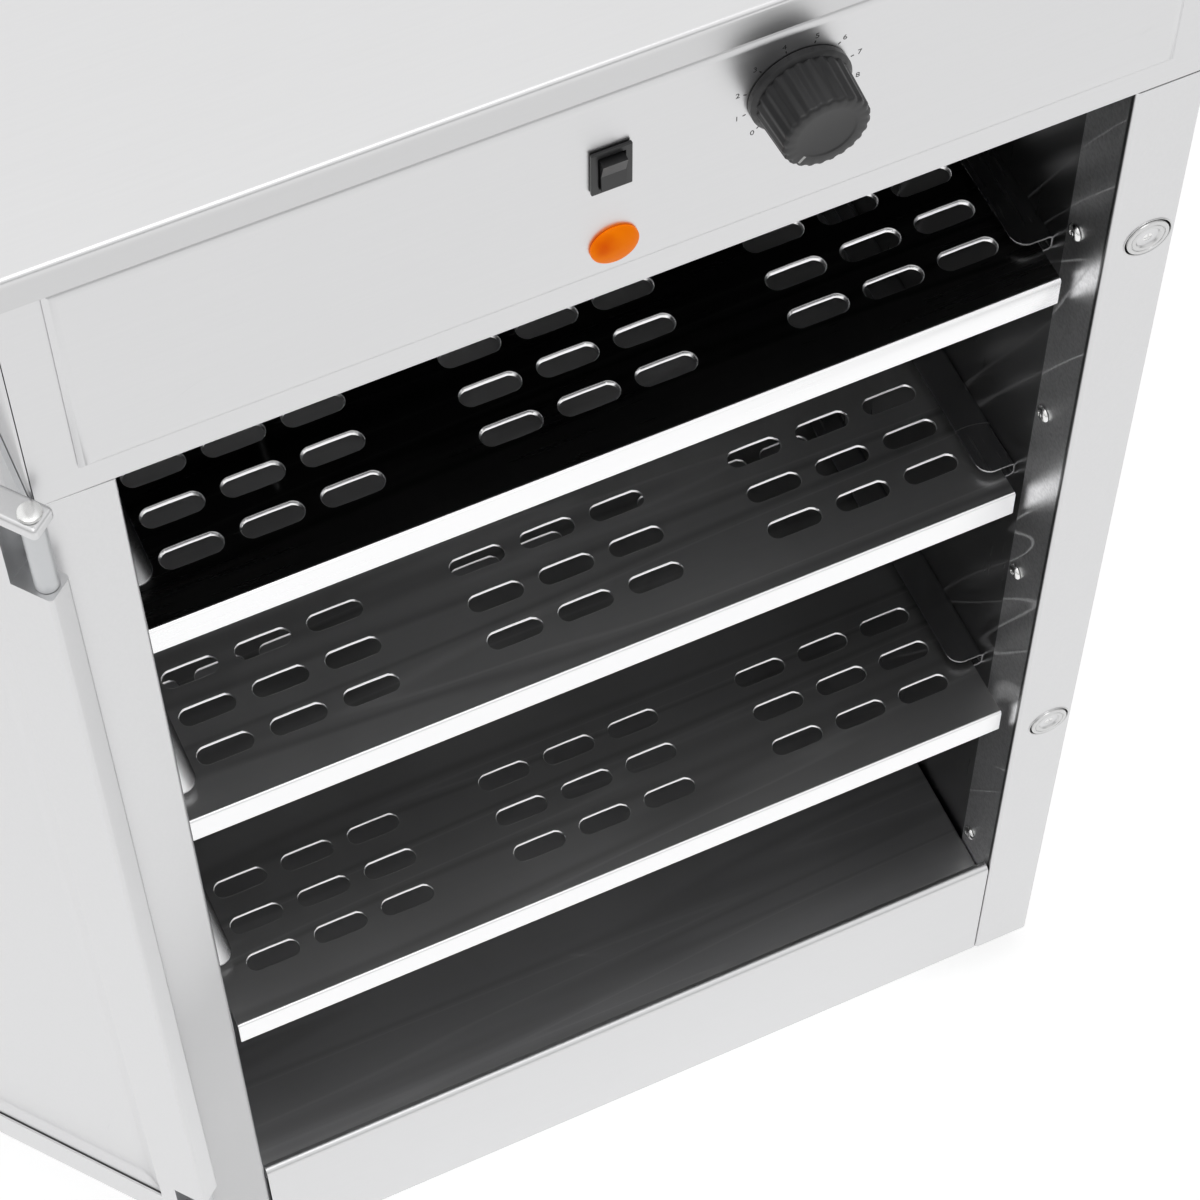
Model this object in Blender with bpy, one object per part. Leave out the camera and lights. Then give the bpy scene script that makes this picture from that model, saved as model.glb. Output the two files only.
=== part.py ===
"""Plate warmer cabinet: a free-standing steel cupboard with a hinged door, three sliding perforated
shelves, a heater under the floor and a control panel over the opening.

Metres, +Z up. The front of the cabinet faces -Y. The cabinet is built about the middle of its front
face, and then moved so that the origin lies under the centre of the whole part, on the floor."""

import math

import bmesh
import bpy
from mathutils import Vector

# Steel and fits
SHEET = 0.001
FIT = 0.0003
OVERRUN = 0.004
BEND = 0.002

# Outer box of the cabinet, without its door
CABINET_WIDTH = 0.450
CABINET_DEPTH = 0.470
FOOT_HEIGHT = 0.032
RAIL_HEIGHT = 0.091
STILE_WIDTH = 0.030
OPENING_HEIGHT = 0.609
HEADER_HEIGHT = 0.015
CONTROL_HEIGHT = 0.098
COVER_LIP = 0.015
COVER_OVERHANG = 0.003

# Folds of the shell
RETURN_DEPTH = 0.028
REAR_FLANGE = 0.018
TOP_FLANGE = 0.022
BASE_FLANGE = 0.020
RAIL_CAP = 0.014
RAIL_CAP_LIP = 0.010
RAIL_BEND = 0.005
RAIL_JOINT = 0.0008
COVER_EDGE = 0.0025

# Inner cabinet
LINER_LAP = 0.016
REAR_SPACE = 0.038
FLOOR_DROP = 0.016

# Shelves and their runners
TOP_ROOM = 0.136
SHELF_SIDE_CLEAR = 0.0035
SHELF_LIP = 0.0157
SHELF_REAR_LIP = 0.012
SHELF_REAR_CLEAR = 0.005
SHELF_NAMES = ("bottom", "middle", "top")
SHELF_PULLED = (0.0269, 0.0090, 0.0148)
RUNNER_WIDTH = 0.0155
RUNNER_START = 0.038
RUNNER_HEADROOM = 0.0035
RUNNER_CORNER = 0.007
RUNNER_BEND = 0.0015

# Slots of a shelf: groups of rows and columns
SLOT_LENGTH = 0.025
SLOT_WIDTH = 0.009
SLOT_PITCH = 0.0328
SLOT_ROW_PITCH = 0.020
SLOT_FRONT_MARGIN = 0.0267
SLOT_SIDE_MARGIN = 0.010
SLOTS_PER_GROUP = 3
GROUPS_DEEP = 3

# Door, its hinge and its handle
DOOR_OPEN_DEGREES = 232.0
DOOR_THICKNESS = 0.012
DOOR_GAP = 0.0015
DOOR_FLANGE = 0.0256
DOOR_FLANGE_LAP = 0.008
DOOR_PRESS = 0.0025
DOOR_PRESS_SLOPE = 0.009
DOOR_TOP_LAP = 0.010
DOOR_BOTTOM_LAP = 0.012
PIVOT_OUT = 0.0025
NOTCH_BRIDGE = 0.005
NOTCH_HEIGHT = 0.039
NOTCH_REACH = 0.011
LEAF_THICKNESS = 0.002
LEAF_REACH = 0.034
KNUCKLE_WALL = 0.0012
PIN_RADIUS = 0.003
PIN_HEAD_RADIUS = 0.0045
PIN_HEAD_HEIGHT = 0.0015
PIN_TIP = 0.004
HANDLE_INSET = 0.040
HANDLE_CENTRES = 0.128
HANDLE_STANDOFF = 0.032
HANDLE_RADIUS = 0.005
HANDLE_BEND = 0.012

# Magnetic catches on the right stile
CATCH_INSET = 0.0125
CATCH_LOWER_RISE = 0.1375
CATCH_UPPER_DROP = 0.0945
CATCH_RADIUS = 0.0105
CATCH_BODY_RADIUS = 0.0075
CATCH_BODY_DEPTH = 0.008
CATCH_FLANGE = 0.0005
CATCH_GROOVE_OUTER = 0.0070
CATCH_GROOVE_INNER = 0.0054
CATCH_GROOVE_DEPTH = 0.0013
CATCH_CHAMFER = 0.0002
CATCH_SCREW_HEAD = 0.0028
CATCH_SCREW_SHANK = 0.0014
CATCH_SCREW_HEAD_DEPTH = 0.0018

# Rivets that join the stile returns to the inner walls
RIVET_COUNT = 5
RIVET_RISE = 0.0015
RIVET_DROP = 0.1075
RIVET_SETBACK = 0.0217
RIVET_HEAD_RADIUS = 0.0034
RIVET_HEAD_HEIGHT = 0.0015
RIVET_SHANK_RADIUS = 0.0016
RIVET_TAIL_RADIUS = 0.0026
RIVET_TAIL = 0.0015

# Control panel and what it carries
CONTROL_MARGIN = 0.018
CONTROL_PLATE = 0.0025
CONTROL_RIM = 0.0006
CONTROL_BEVEL = 0.006
LAMP_X = -0.0122
LAMP_RISE = 0.032
LAMP_RADIUS = 0.0098
LAMP_BODY_RADIUS = 0.0070
LAMP_DOME = 0.0034
LAMP_RIM = 0.0012
LAMP_BODY_DEPTH = 0.018
LAMP_NUT_RADIUS = 0.0105
LAMP_NUT_DEPTH = 0.005
SWITCH_X = -0.0140
SWITCH_RISE = 0.075
SWITCH_WIDTH = 0.015
SWITCH_HEIGHT = 0.021
SWITCH_BEZEL = 0.0015
SWITCH_BODY_INSET = 0.0012
SWITCH_BODY_DEPTH = 0.016
SWITCH_WALL = 0.0015
SWITCH_POCKET_DEPTH = 0.0075
ROCKER_DEGREES = 6.0
ROCKER_RISE = 0.0022
ROCKER_BACK = 0.0035
ROCKER_END_CLEAR = 0.0006
KNOB_X = 0.0546
KNOB_DROP = 0.032
KNOB_RADIUS = 0.019
KNOB_TOP_RADIUS = 0.0165
KNOB_HEIGHT = 0.022
KNOB_EDGE = 0.0012
KNOB_BORE_DEPTH = 0.012
SPINDLE_RADIUS = 0.003
THERMOSTAT_RADIUS = 0.0175
THERMOSTAT_DEPTH = 0.030
CAPILLARY_RADIUS = 0.001
BULB_RADIUS = 0.003
BULB_LENGTH = 0.080
CAPILLARY_REACH = 0.030
CAPILLARY_BEND = 0.010

# Heater, its bracket, the terminal block and the cable inlet
HEATER_RADIUS = 0.004
HEATER_HEIGHT = 0.034
HEATER_RUNS = 4
HEATER_RUN_PITCH = 0.070
HEATER_BEND_SHARE = 0.43
HEATER_FRONT = 0.060
HEATER_REAR_CLEAR = 0.030
HEATER_TAIL = 0.014
BRACKET_DEPTH = 0.025
TERMINAL_LENGTH = 0.050
TERMINAL_DEPTH = 0.018
TERMINAL_HEIGHT = 0.020
TERMINAL_STEP = 0.006
INLET_INSET = 0.075
INLET_HEIGHT = 0.043
GLAND_BORE = 0.0042
GLAND_RADIUS = 0.0075
GLAND_FLANGE_RADIUS = 0.0115
GLAND_FLANGE = 0.004
GLAND_NOSE = 0.010
GLAND_INSIDE = 0.012

# Feet
FOOT_RADIUS = 0.019
FOOT_TOP_RADIUS = 0.016
FOOT_SPIGOT_RADIUS = 0.005
FOOT_SPIGOT = 0.007
FOOT_CLEAR = 0.0037
FOOT_END_INSET = 0.017

# Shares of a piece's own size
RIVET_CROWN_SHARES = (0.60, 0.85)
ROCKER_OUTLINE_SHARES = (0.30, 0.50, 0.95, 0.40)
GLAND_TIP_SHARE = 0.85

# Facets
BEND_STEPS = 2
ARC_STEPS = 4
ROUND_STEPS = 12
FINE_STEPS = 20
RIVET_STEPS = 8
SLOT_END_STEPS = 3
SHARP_DEGREES = 35

# Colour, roughness and metallic value of each finish
BRIGHT_STEEL = ((0.80, 0.80, 0.81), 0.30, 1.0)
SATIN_STEEL = ((0.72, 0.72, 0.73), 0.36, 1.0)
INNER_STEEL = ((0.55, 0.55, 0.56), 0.16, 1.0)
ZINC_STEEL = ((0.60, 0.61, 0.62), 0.45, 1.0)
DARK_STEEL = ((0.16, 0.15, 0.15), 0.50, 0.8)
NICKEL = ((0.78, 0.78, 0.77), 0.20, 1.0)
BLACK_PLASTIC = ((0.02, 0.02, 0.02), 0.38, 0.0)
GREY_PLASTIC = ((0.62, 0.62, 0.62), 0.45, 0.0)
WHITE_PLASTIC = ((0.80, 0.80, 0.78), 0.50, 0.0)
AMBER_PLASTIC = ((0.95, 0.28, 0.02), 0.25, 0.0)
COPPER = ((0.72, 0.38, 0.22), 0.30, 1.0)

# Places worked out from the sizes above
half_width = CABINET_WIDTH / 2
half_opening = half_width - STILE_WIDTH
base_z = FOOT_HEIGHT
base_top = base_z + SHEET
rail_top = base_z + RAIL_HEIGHT
opening_top = rail_top + OPENING_HEIGHT
control_bottom = opening_top + HEADER_HEIGHT
cover_bottom = control_bottom + CONTROL_HEIGHT
cabinet_top = cover_bottom + COVER_LIP
shell_top = cabinet_top - SHEET - FIT
shell_back = CABINET_DEPTH - SHEET - FIT
inner_half = half_width - SHEET - FIT
wall_x = half_opening + SHEET + FIT
inner_depth = CABINET_DEPTH - SHEET - REAR_SPACE - SHEET
floor_z = rail_top - FLOOR_DROP
door_top = opening_top + DOOR_TOP_LAP
door_bottom = rail_top - DOOR_BOTTOM_LAP
door_half = DOOR_THICKNESS / 2
door_edge = PIN_RADIUS + 2 * SHEET + 2 * FIT
door_free = CABINET_WIDTH + PIVOT_OUT
pivot_x = -half_width - PIVOT_OUT
pivot_y = -DOOR_GAP - door_half
panel_face = -FIT - CONTROL_PLATE
panel_front = panel_face - FIT
shelf_home = RUNNER_START - FIT - BEND
shelf_half = wall_x - FIT - SHEET - SHELF_SIDE_CLEAR
shelf_depth = inner_depth - SHELF_REAR_CLEAR - shelf_home
knob_front = panel_front - KNOB_HEIGHT
gland_end = CABINET_DEPTH + FIT + GLAND_FLANGE + GLAND_NOSE


def turned_about_pivot(x, y):
    """A point of the closed door, given from its pivot, in the cabinet's plan with the door open."""
    angle = -math.radians(DOOR_OPEN_DEGREES)
    return (pivot_x + x * math.cos(angle) - y * math.sin(angle),
            pivot_y + x * math.sin(angle) + y * math.cos(angle))


def plan_centre():
    """Middle of the part's whole plan, with the door open."""
    door_corners = [turned_about_pivot(x, y)
                    for x in (-door_edge, door_free)
                    for y in (-door_half, door_half)]
    cover_side = half_width + COVER_OVERHANG
    across = [x for x, _ in door_corners] + [-cover_side, cover_side]
    deep = [y for _, y in door_corners] + [knob_front, gland_end, CABINET_DEPTH + COVER_OVERHANG]
    return (min(across) + max(across)) / 2, (min(deep) + max(deep)) / 2


def clear_scene():
    for thing in list(bpy.data.objects):
        bpy.data.objects.remove(thing, do_unlink=True)


def add_empty(name, location, parent=None):
    empty = bpy.data.objects.new(name, None)
    bpy.context.scene.collection.objects.link(empty)
    empty.location = location
    empty.parent = parent
    return empty


def add_object(name, data, finish, parent, place=(0, 0, 0)):
    thing = bpy.data.objects.new(name, data)
    bpy.context.scene.collection.objects.link(thing)
    thing.parent = parent
    thing.location = place
    if finish:
        colour, roughness, metallic = finish
        material = bpy.data.materials.new(name + "_finish")
        material.use_nodes = True
        shader = material.node_tree.nodes["Principled BSDF"]
        shader.inputs["Base Color"].default_value = (*colour, 1)
        shader.inputs["Roughness"].default_value = roughness
        shader.inputs["Metallic"].default_value = metallic
        data.materials.append(material)
    return thing


def finish_mesh(name, bm):
    """Turns a bmesh into a mesh with its faces pointing out, smooth but for its sharp edges."""
    bmesh.ops.recalc_face_normals(bm, faces=bm.faces)
    mesh = bpy.data.meshes.new(name)
    bm.to_mesh(mesh)
    bm.free()
    mesh.shade_smooth()
    mesh.set_sharp_from_angle(angle=math.radians(SHARP_DEGREES))
    return mesh


def along(axis, u, v, distance):
    """A point from two coordinates of an outline and the distance along its axis."""
    if axis == "X":
        return (distance, u, v)
    if axis == "Y":
        return (u, distance, v)
    return (u, v, distance)


def prism_bmesh(outline, axis, low, high, bm=None):
    """A straight solid with the given outline between two distances along an axis."""
    bm = bm or bmesh.new()
    first = [bm.verts.new(along(axis, u, v, low)) for u, v in outline]
    last = [bm.verts.new(along(axis, u, v, high)) for u, v in outline]
    bm.faces.new(first)
    bm.faces.new(list(reversed(last)))
    count = len(outline)
    for i in range(count):
        j = (i + 1) % count
        bm.faces.new((first[j], first[i], last[i], last[j]))
    return bm


def prism(name, outline, axis, low, high, finish, parent, place=(0, 0, 0)):
    mesh = finish_mesh(name, prism_bmesh(outline, axis, low, high))
    return add_object(name, mesh, finish, parent, place)


def rectangle(low, high):
    return [(low[0], low[1]), (high[0], low[1]), (high[0], high[1]), (low[0], high[1])]


def block(name, low, high, finish, parent):
    outline = rectangle(low[:2], high[:2])
    return prism(name, outline, "Z", low[2], high[2], finish, parent)


def rounded_path(path, radii, steps):
    """The path, in a plane or in space, with an arc of each radius in place of each inner corner."""
    points = [Vector(path[0])]
    for i in range(1, len(path) - 1):
        radius = radii[i - 1]
        corner = Vector(path[i])
        before = (Vector(path[i - 1]) - corner).normalized()
        after = (Vector(path[i + 1]) - corner).normalized()
        half_angle = before.angle(after) / 2
        middle = corner + (before + after).normalized() * (radius / math.sin(half_angle))
        start = (corner + before * (radius / math.tan(half_angle)) - middle).normalized()
        end = (corner + after * (radius / math.tan(half_angle)) - middle).normalized()
        for step in range(steps + 1):
            points.append(middle + start.slerp(end, step / steps) * radius)
    points.append(Vector(path[-1]))
    return points


def sheet_outline(path, radii=None, thickness=SHEET):
    """Outline of a folded sheet: the path is its outer face, and the sheet lies to the right of it."""
    points = rounded_path(path, radii or [BEND] * (len(path) - 2), BEND_STEPS)
    inner = []
    for i, point in enumerate(points):
        ahead = (points[i + 1] - point).normalized() if i + 1 < len(points) else None
        behind = (point - points[i - 1]).normalized() if i else None
        ahead = ahead or behind
        behind = behind or ahead
        normal = Vector((ahead.y + behind.y, -ahead.x - behind.x)).normalized()
        stretch = normal.dot(Vector((ahead.y, -ahead.x)))
        inner.append(point + normal * (thickness / stretch))
    return [tuple(p) for p in points] + [tuple(p) for p in reversed(inner)]


def ringed_plate(name, low, high, rings, finish, parent):
    """A plate in the XZ plane, built from rings that are inset from its edges, each at its own depth."""
    bm = bmesh.new()
    loops = []
    for inset, y in rings:
        corners = rectangle((low[0] + inset, low[1] + inset), (high[0] - inset, high[1] - inset))
        loops.append([bm.verts.new(along("Y", u, v, y)) for u, v in corners])
    bm.faces.new(loops[0])
    bm.faces.new(loops[-1])
    for one, two in zip(loops, loops[1:]):
        for i in range(len(one)):
            j = (i + 1) % len(one)
            bm.faces.new((one[i], one[j], two[j], two[i]))
    return add_object(name, finish_mesh(name, bm), finish, parent)


def mirrored(outline):
    return [(-u, v) for u, v in reversed(outline)]


def turned(name, profile, axis, steps, finish, parent, place):
    """A solid of revolution; the profile is a loop of (radius, distance along the axis) points."""
    bm = bmesh.new()
    rings = []
    for radius, distance in profile:
        if radius == 0:
            rings.append([bm.verts.new(along(axis, 0, 0, distance))])
            continue
        ring = []
        for step in range(steps):
            angle = 2 * math.pi * (step + 0.5) / steps
            ring.append(bm.verts.new(along(axis, radius * math.cos(angle),
                                           radius * math.sin(angle), distance)))
        rings.append(ring)
    closed = profile[0][0] > 0
    pairs = list(zip(rings, rings[1:])) + ([(rings[-1], rings[0])] if closed else [])
    for one, two in pairs:
        for i in range(steps):
            j = (i + 1) % steps
            corners = [one[i % len(one)], one[j % len(one)], two[j % len(two)], two[i % len(two)]]
            bm.faces.new(list(dict.fromkeys(corners)))
    return add_object(name, finish_mesh(name, bm), finish, parent, place)


def round_hole(axis, centre, radius, low, high, bm, steps=ROUND_STEPS):
    """Adds a round cutter to a bmesh; its flats keep the stated radius clear."""
    reach = radius / math.cos(math.pi / steps)
    outline = [(centre[0] + reach * math.cos(2 * math.pi * (i + 0.5) / steps),
                centre[1] + reach * math.sin(2 * math.pi * (i + 0.5) / steps))
               for i in range(steps)]
    prism_bmesh(outline, axis, low, high, bm)


def cut(targets, name, bm, parent, place=(0, 0, 0)):
    """Cuts every target with the bmesh, which stays as a hidden wire object."""
    cutter = add_object(name, finish_mesh(name, bm), None, parent, place)
    cutter.hide_render = True
    cutter.display_type = "WIRE"
    for target in targets:
        boolean = target.modifiers.new(name, "BOOLEAN")
        boolean.operation = "DIFFERENCE"
        boolean.object = cutter
        boolean.solver = "EXACT"
    return cutter


def bevel_edges(thing, chosen, width, steps):
    """Rounds the edges of an object's mesh that the test picks by their two ends."""
    bm = bmesh.new()
    bm.from_mesh(thing.data)
    edges = [e for e in bm.edges if chosen(e.verts[0].co, e.verts[1].co)]
    bmesh.ops.bevel(bm, geom=edges, offset=width, segments=steps, profile=0.5, affect="EDGES")
    bm.to_mesh(thing.data)
    bm.free()


def tube(name, points, radius, finish, parent, radii=None):
    """A round bar along a route, with flat ends."""
    curve = bpy.data.curves.new(name, "CURVE")
    curve.dimensions = "3D"
    curve.bevel_depth = radius
    curve.bevel_resolution = 2
    curve.use_fill_caps = True
    spline = curve.splines.new("POLY")
    spline.points.add(len(points) - 1)
    for i, (spot, point) in enumerate(zip(spline.points, points)):
        spot.co = (*point, 1)
        spot.radius = radii[i] if radii else 1
    return add_object(name, curve, finish, parent)


def rivet_heights():
    pitch = (OPENING_HEIGHT - RIVET_RISE - RIVET_DROP) / (RIVET_COUNT - 1)
    return [rail_top + RIVET_RISE + i * pitch for i in range(RIVET_COUNT)]


def shelf_heights():
    pitch = (opening_top - floor_z - TOP_ROOM) / len(SHELF_NAMES)
    return [floor_z + pitch * (i + 1) for i in range(len(SHELF_NAMES))]


def make_side_panel(side, sign, root):
    """Outer side wall, folded round into the front stile and its return, and into a rear flange."""
    path = [(half_width - REAR_FLANGE, shell_back), (half_width, shell_back), (half_width, 0),
            (half_opening, 0), (half_opening, RETURN_DEPTH)]
    outline = sheet_outline(path)
    if sign < 0:
        outline = mirrored(outline)
    panel = prism("side_panel_" + side, outline, "Z", base_z, shell_top, SATIN_STEEL, root)
    bm = bmesh.new()
    low, high = sorted((sign * (half_opening - OVERRUN), sign * (half_width - SHEET)))
    prism_bmesh(rectangle((low, -OVERRUN), (high, RETURN_DEPTH + OVERRUN)), "Z",
                opening_top - FIT, shell_top + OVERRUN, bm)
    cut([panel], "side_panel_top_cut_" + side, bm, root)
    return panel


def make_liner_side(side, sign, root):
    """Inner side wall; its front edge lies behind the stile's return."""
    low, high = sorted((sign * wall_x, sign * (wall_x + SHEET)))
    return block("liner_side_" + side, (low, RETURN_DEPTH - LINER_LAP, base_top + FIT),
                 (high, inner_depth + SHEET, opening_top - FIT), INNER_STEEL, root)


def make_rivets(side, sign, panel, liner, root):
    """Rivets through the stile's return and the inner wall behind it."""
    tail_start = 2 * SHEET + 2 * FIT
    crown_radius_share, crown_height_share = RIVET_CROWN_SHARES
    profile = [(0, -FIT - RIVET_HEAD_HEIGHT),
               (RIVET_HEAD_RADIUS * crown_radius_share, -FIT - RIVET_HEAD_HEIGHT * crown_height_share),
               (RIVET_HEAD_RADIUS, -FIT),
               (RIVET_SHANK_RADIUS, -FIT),
               (RIVET_SHANK_RADIUS, tail_start),
               (RIVET_TAIL_RADIUS, tail_start),
               (RIVET_TAIL_RADIUS, tail_start + RIVET_TAIL / 2),
               (0, tail_start + RIVET_TAIL)]
    profile = [(radius, sign * distance) for radius, distance in profile]
    bm = bmesh.new()
    low, high = sorted((sign * (half_opening - OVERRUN), sign * (wall_x + SHEET + OVERRUN)))
    for number, height in enumerate(rivet_heights(), 1):
        round_hole("X", (RIVET_SETBACK, height), RIVET_SHANK_RADIUS + FIT, low, high, bm,
                   RIVET_STEPS)
        turned(f"rivet_{side}_{number}", profile, "X", RIVET_STEPS, NICKEL, root,
               (sign * half_opening, RIVET_SETBACK, height))
    cut([panel, liner], "rivet_holes_" + side, bm, root)


def make_shell(root):
    left = make_side_panel("left", -1, root)
    right = make_side_panel("right", 1, root)

    rail_path = [(RETURN_DEPTH, base_z), (0, base_z), (0, rail_top), (RAIL_CAP, rail_top),
                 (RAIL_CAP, rail_top - RAIL_CAP_LIP)]
    prism("bottom_rail", sheet_outline(rail_path, [BEND, RAIL_BEND, BEND]), "X",
          -half_opening + RAIL_JOINT, half_opening - RAIL_JOINT, SATIN_STEEL, root)

    fascia_path = [(RETURN_DEPTH, opening_top), (0, opening_top), (0, shell_top),
                   (TOP_FLANGE, shell_top)]
    fascia = prism("fascia_frame", sheet_outline(fascia_path), "X",
                   -inner_half, inner_half, SATIN_STEEL, root)

    base_path = [(inner_half, base_z + BASE_FLANGE), (inner_half, base_z),
                 (-inner_half, base_z), (-inner_half, base_z + BASE_FLANGE)]
    base = prism("base_pan", sheet_outline(base_path), "Y", RETURN_DEPTH + FIT,
                 shell_back - BEND, ZINC_STEEL, root)

    back = block("back_panel", (-inner_half, CABINET_DEPTH - SHEET, base_z),
                 (inner_half, CABINET_DEPTH, shell_top), SATIN_STEEL, root)

    def upper_edge(a, b):
        return max(a.z, b.z) > cover_bottom + COVER_LIP / 2

    reach = half_width + COVER_OVERHANG
    cover = block("top_cover", (-reach, -COVER_OVERHANG, cover_bottom),
                  (reach, CABINET_DEPTH + COVER_OVERHANG, cabinet_top), BRIGHT_STEEL, root)
    bevel_edges(cover, upper_edge, COVER_EDGE, BEND_STEPS)
    bm = bmesh.new()
    prism_bmesh(rectangle((-reach + SHEET, -COVER_OVERHANG + SHEET),
                          (reach - SHEET, CABINET_DEPTH + COVER_OVERHANG - SHEET)), "Z",
                cover_bottom - OVERRUN, cabinet_top - SHEET, bm)
    pocket = cut([cover], "cover_pocket", bm, root)
    bevel_edges(pocket, upper_edge, COVER_EDGE - SHEET, BEND_STEPS)
    return left, right, fascia, base, back


def make_liner(panels, root):
    """Inner walls, ceiling and floor of the heated space."""
    sides = [make_liner_side("left", -1, root), make_liner_side("right", 1, root)]
    make_rivets("left", -1, panels[0], sides[0], root)
    make_rivets("right", 1, panels[1], sides[1], root)
    liner_back = block("liner_back", (-wall_x + FIT, inner_depth, base_top + FIT),
                       (wall_x - FIT, inner_depth + SHEET, opening_top - FIT), INNER_STEEL, root)
    block("liner_ceiling", (-wall_x - SHEET, RETURN_DEPTH + FIT, opening_top),
          (wall_x + SHEET, inner_depth + SHEET, opening_top + SHEET), INNER_STEEL, root)
    half_floor = half_opening - FIT
    floor_path = [(-half_floor, base_top + FIT), (-half_floor, floor_z),
                  (half_floor, floor_z), (half_floor, base_top + FIT)]
    prism("liner_floor", sheet_outline(floor_path), "Y", RAIL_CAP + FIT, inner_depth - FIT,
          INNER_STEEL, root)
    return liner_back


def make_runner(level, side, sign, shelf_top, root):
    """Channel on the inner wall that holds one edge of a shelf."""
    web_x = wall_x - FIT
    tip_x = web_x - RUNNER_WIDTH
    upper = shelf_top + RUNNER_HEADROOM + SHEET
    lower = shelf_top - SHEET - FIT - SHEET
    outline = sheet_outline([(tip_x, upper), (web_x, upper), (web_x, lower), (tip_x, lower)],
                            [RUNNER_BEND, RUNNER_BEND])
    if sign < 0:
        outline = mirrored(outline)
    runner = prism(f"runner_{level}_{side}", outline, "Y", RUNNER_START,
                   inner_depth - SHELF_REAR_CLEAR, INNER_STEEL, root)
    limit = SHEET / 2

    def front_corner(a, b):
        at_tip = abs(abs(a.x) - tip_x) < limit and abs(abs(b.x) - tip_x) < limit
        return at_tip and max(a.y, b.y) < RUNNER_START + limit

    bevel_edges(runner, front_corner, RUNNER_CORNER, SLOT_END_STEPS)


def slot_outline(x, y):
    """Round-ended slot about a centre, its length along X."""
    radius = SLOT_WIDTH / 2
    straight = SLOT_LENGTH / 2 - radius
    points = []
    for end in (1, -1):
        for step in range(SLOT_END_STEPS + 1):
            angle = math.pi * (step / SLOT_END_STEPS - 0.5)
            points.append((x + end * (straight + radius * math.cos(angle)),
                           y + end * radius * math.sin(angle)))
    return points


def slot_centres():
    """Centres of a shelf's slots, from the middle of its front edge."""
    group_pitch = SLOT_PITCH * (SLOTS_PER_GROUP + 1)
    half_group = SLOT_ROW_PITCH * (SLOTS_PER_GROUP - 1) / 2
    first_row = SLOT_FRONT_MARGIN + half_group
    deep_pitch = (shelf_depth - 2 * first_row) / (GROUPS_DEEP - 1)
    middle = (SLOTS_PER_GROUP - 1) / 2
    group_width = SLOT_PITCH * (SLOTS_PER_GROUP - 1) + SLOT_LENGTH
    usable = 2 * (shelf_half - SLOT_SIDE_MARGIN)
    groups_across = 1 + int((usable - group_width) / group_pitch)
    centres = []
    for group_x in range(groups_across):
        for group_y in range(GROUPS_DEEP):
            for column in range(SLOTS_PER_GROUP):
                for row in range(SLOTS_PER_GROUP):
                    x = (group_x - (groups_across - 1) / 2) * group_pitch + (column - middle) * SLOT_PITCH
                    y = first_row + group_y * deep_pitch + (row - middle) * SLOT_ROW_PITCH
                    centres.append((x, y))
    return centres


def make_shelf(level, shelf_top, pulled, root):
    """Perforated sheet shelf with a folded front edge, on an empty at its home place."""
    axis = add_empty("shelf_axis_" + level, (0, shelf_home - pulled, shelf_top), root)
    path = [(0, -SHELF_LIP), (0, 0), (shelf_depth, 0), (shelf_depth, -SHELF_REAR_LIP)]
    shelf = prism("shelf_" + level, sheet_outline(path), "X", -shelf_half, shelf_half,
                  BRIGHT_STEEL, axis)
    rear_half = wall_x - RUNNER_WIDTH - OVERRUN
    bm = bmesh.new()
    for sign in (-1, 1):
        low, high = sorted((sign * rear_half, sign * (shelf_half + OVERRUN)))
        prism_bmesh(rectangle((low, shelf_depth - BEND - SHEET), (high, shelf_depth + OVERRUN)), "Z",
                    -SHELF_REAR_LIP - OVERRUN, OVERRUN, bm)
    for x, y in slot_centres():
        prism_bmesh(slot_outline(x, y), "Z", -SHEET - OVERRUN, OVERRUN, bm)
    cut([shelf], "shelf_cuts_" + level, bm, axis)


def make_shelves(root):
    for level, shelf_top, pulled in zip(SHELF_NAMES, shelf_heights(), SHELF_PULLED):
        make_runner(level, "left", -1, shelf_top, root)
        make_runner(level, "right", 1, shelf_top, root)
        make_shelf(level, shelf_top, pulled, root)


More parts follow.
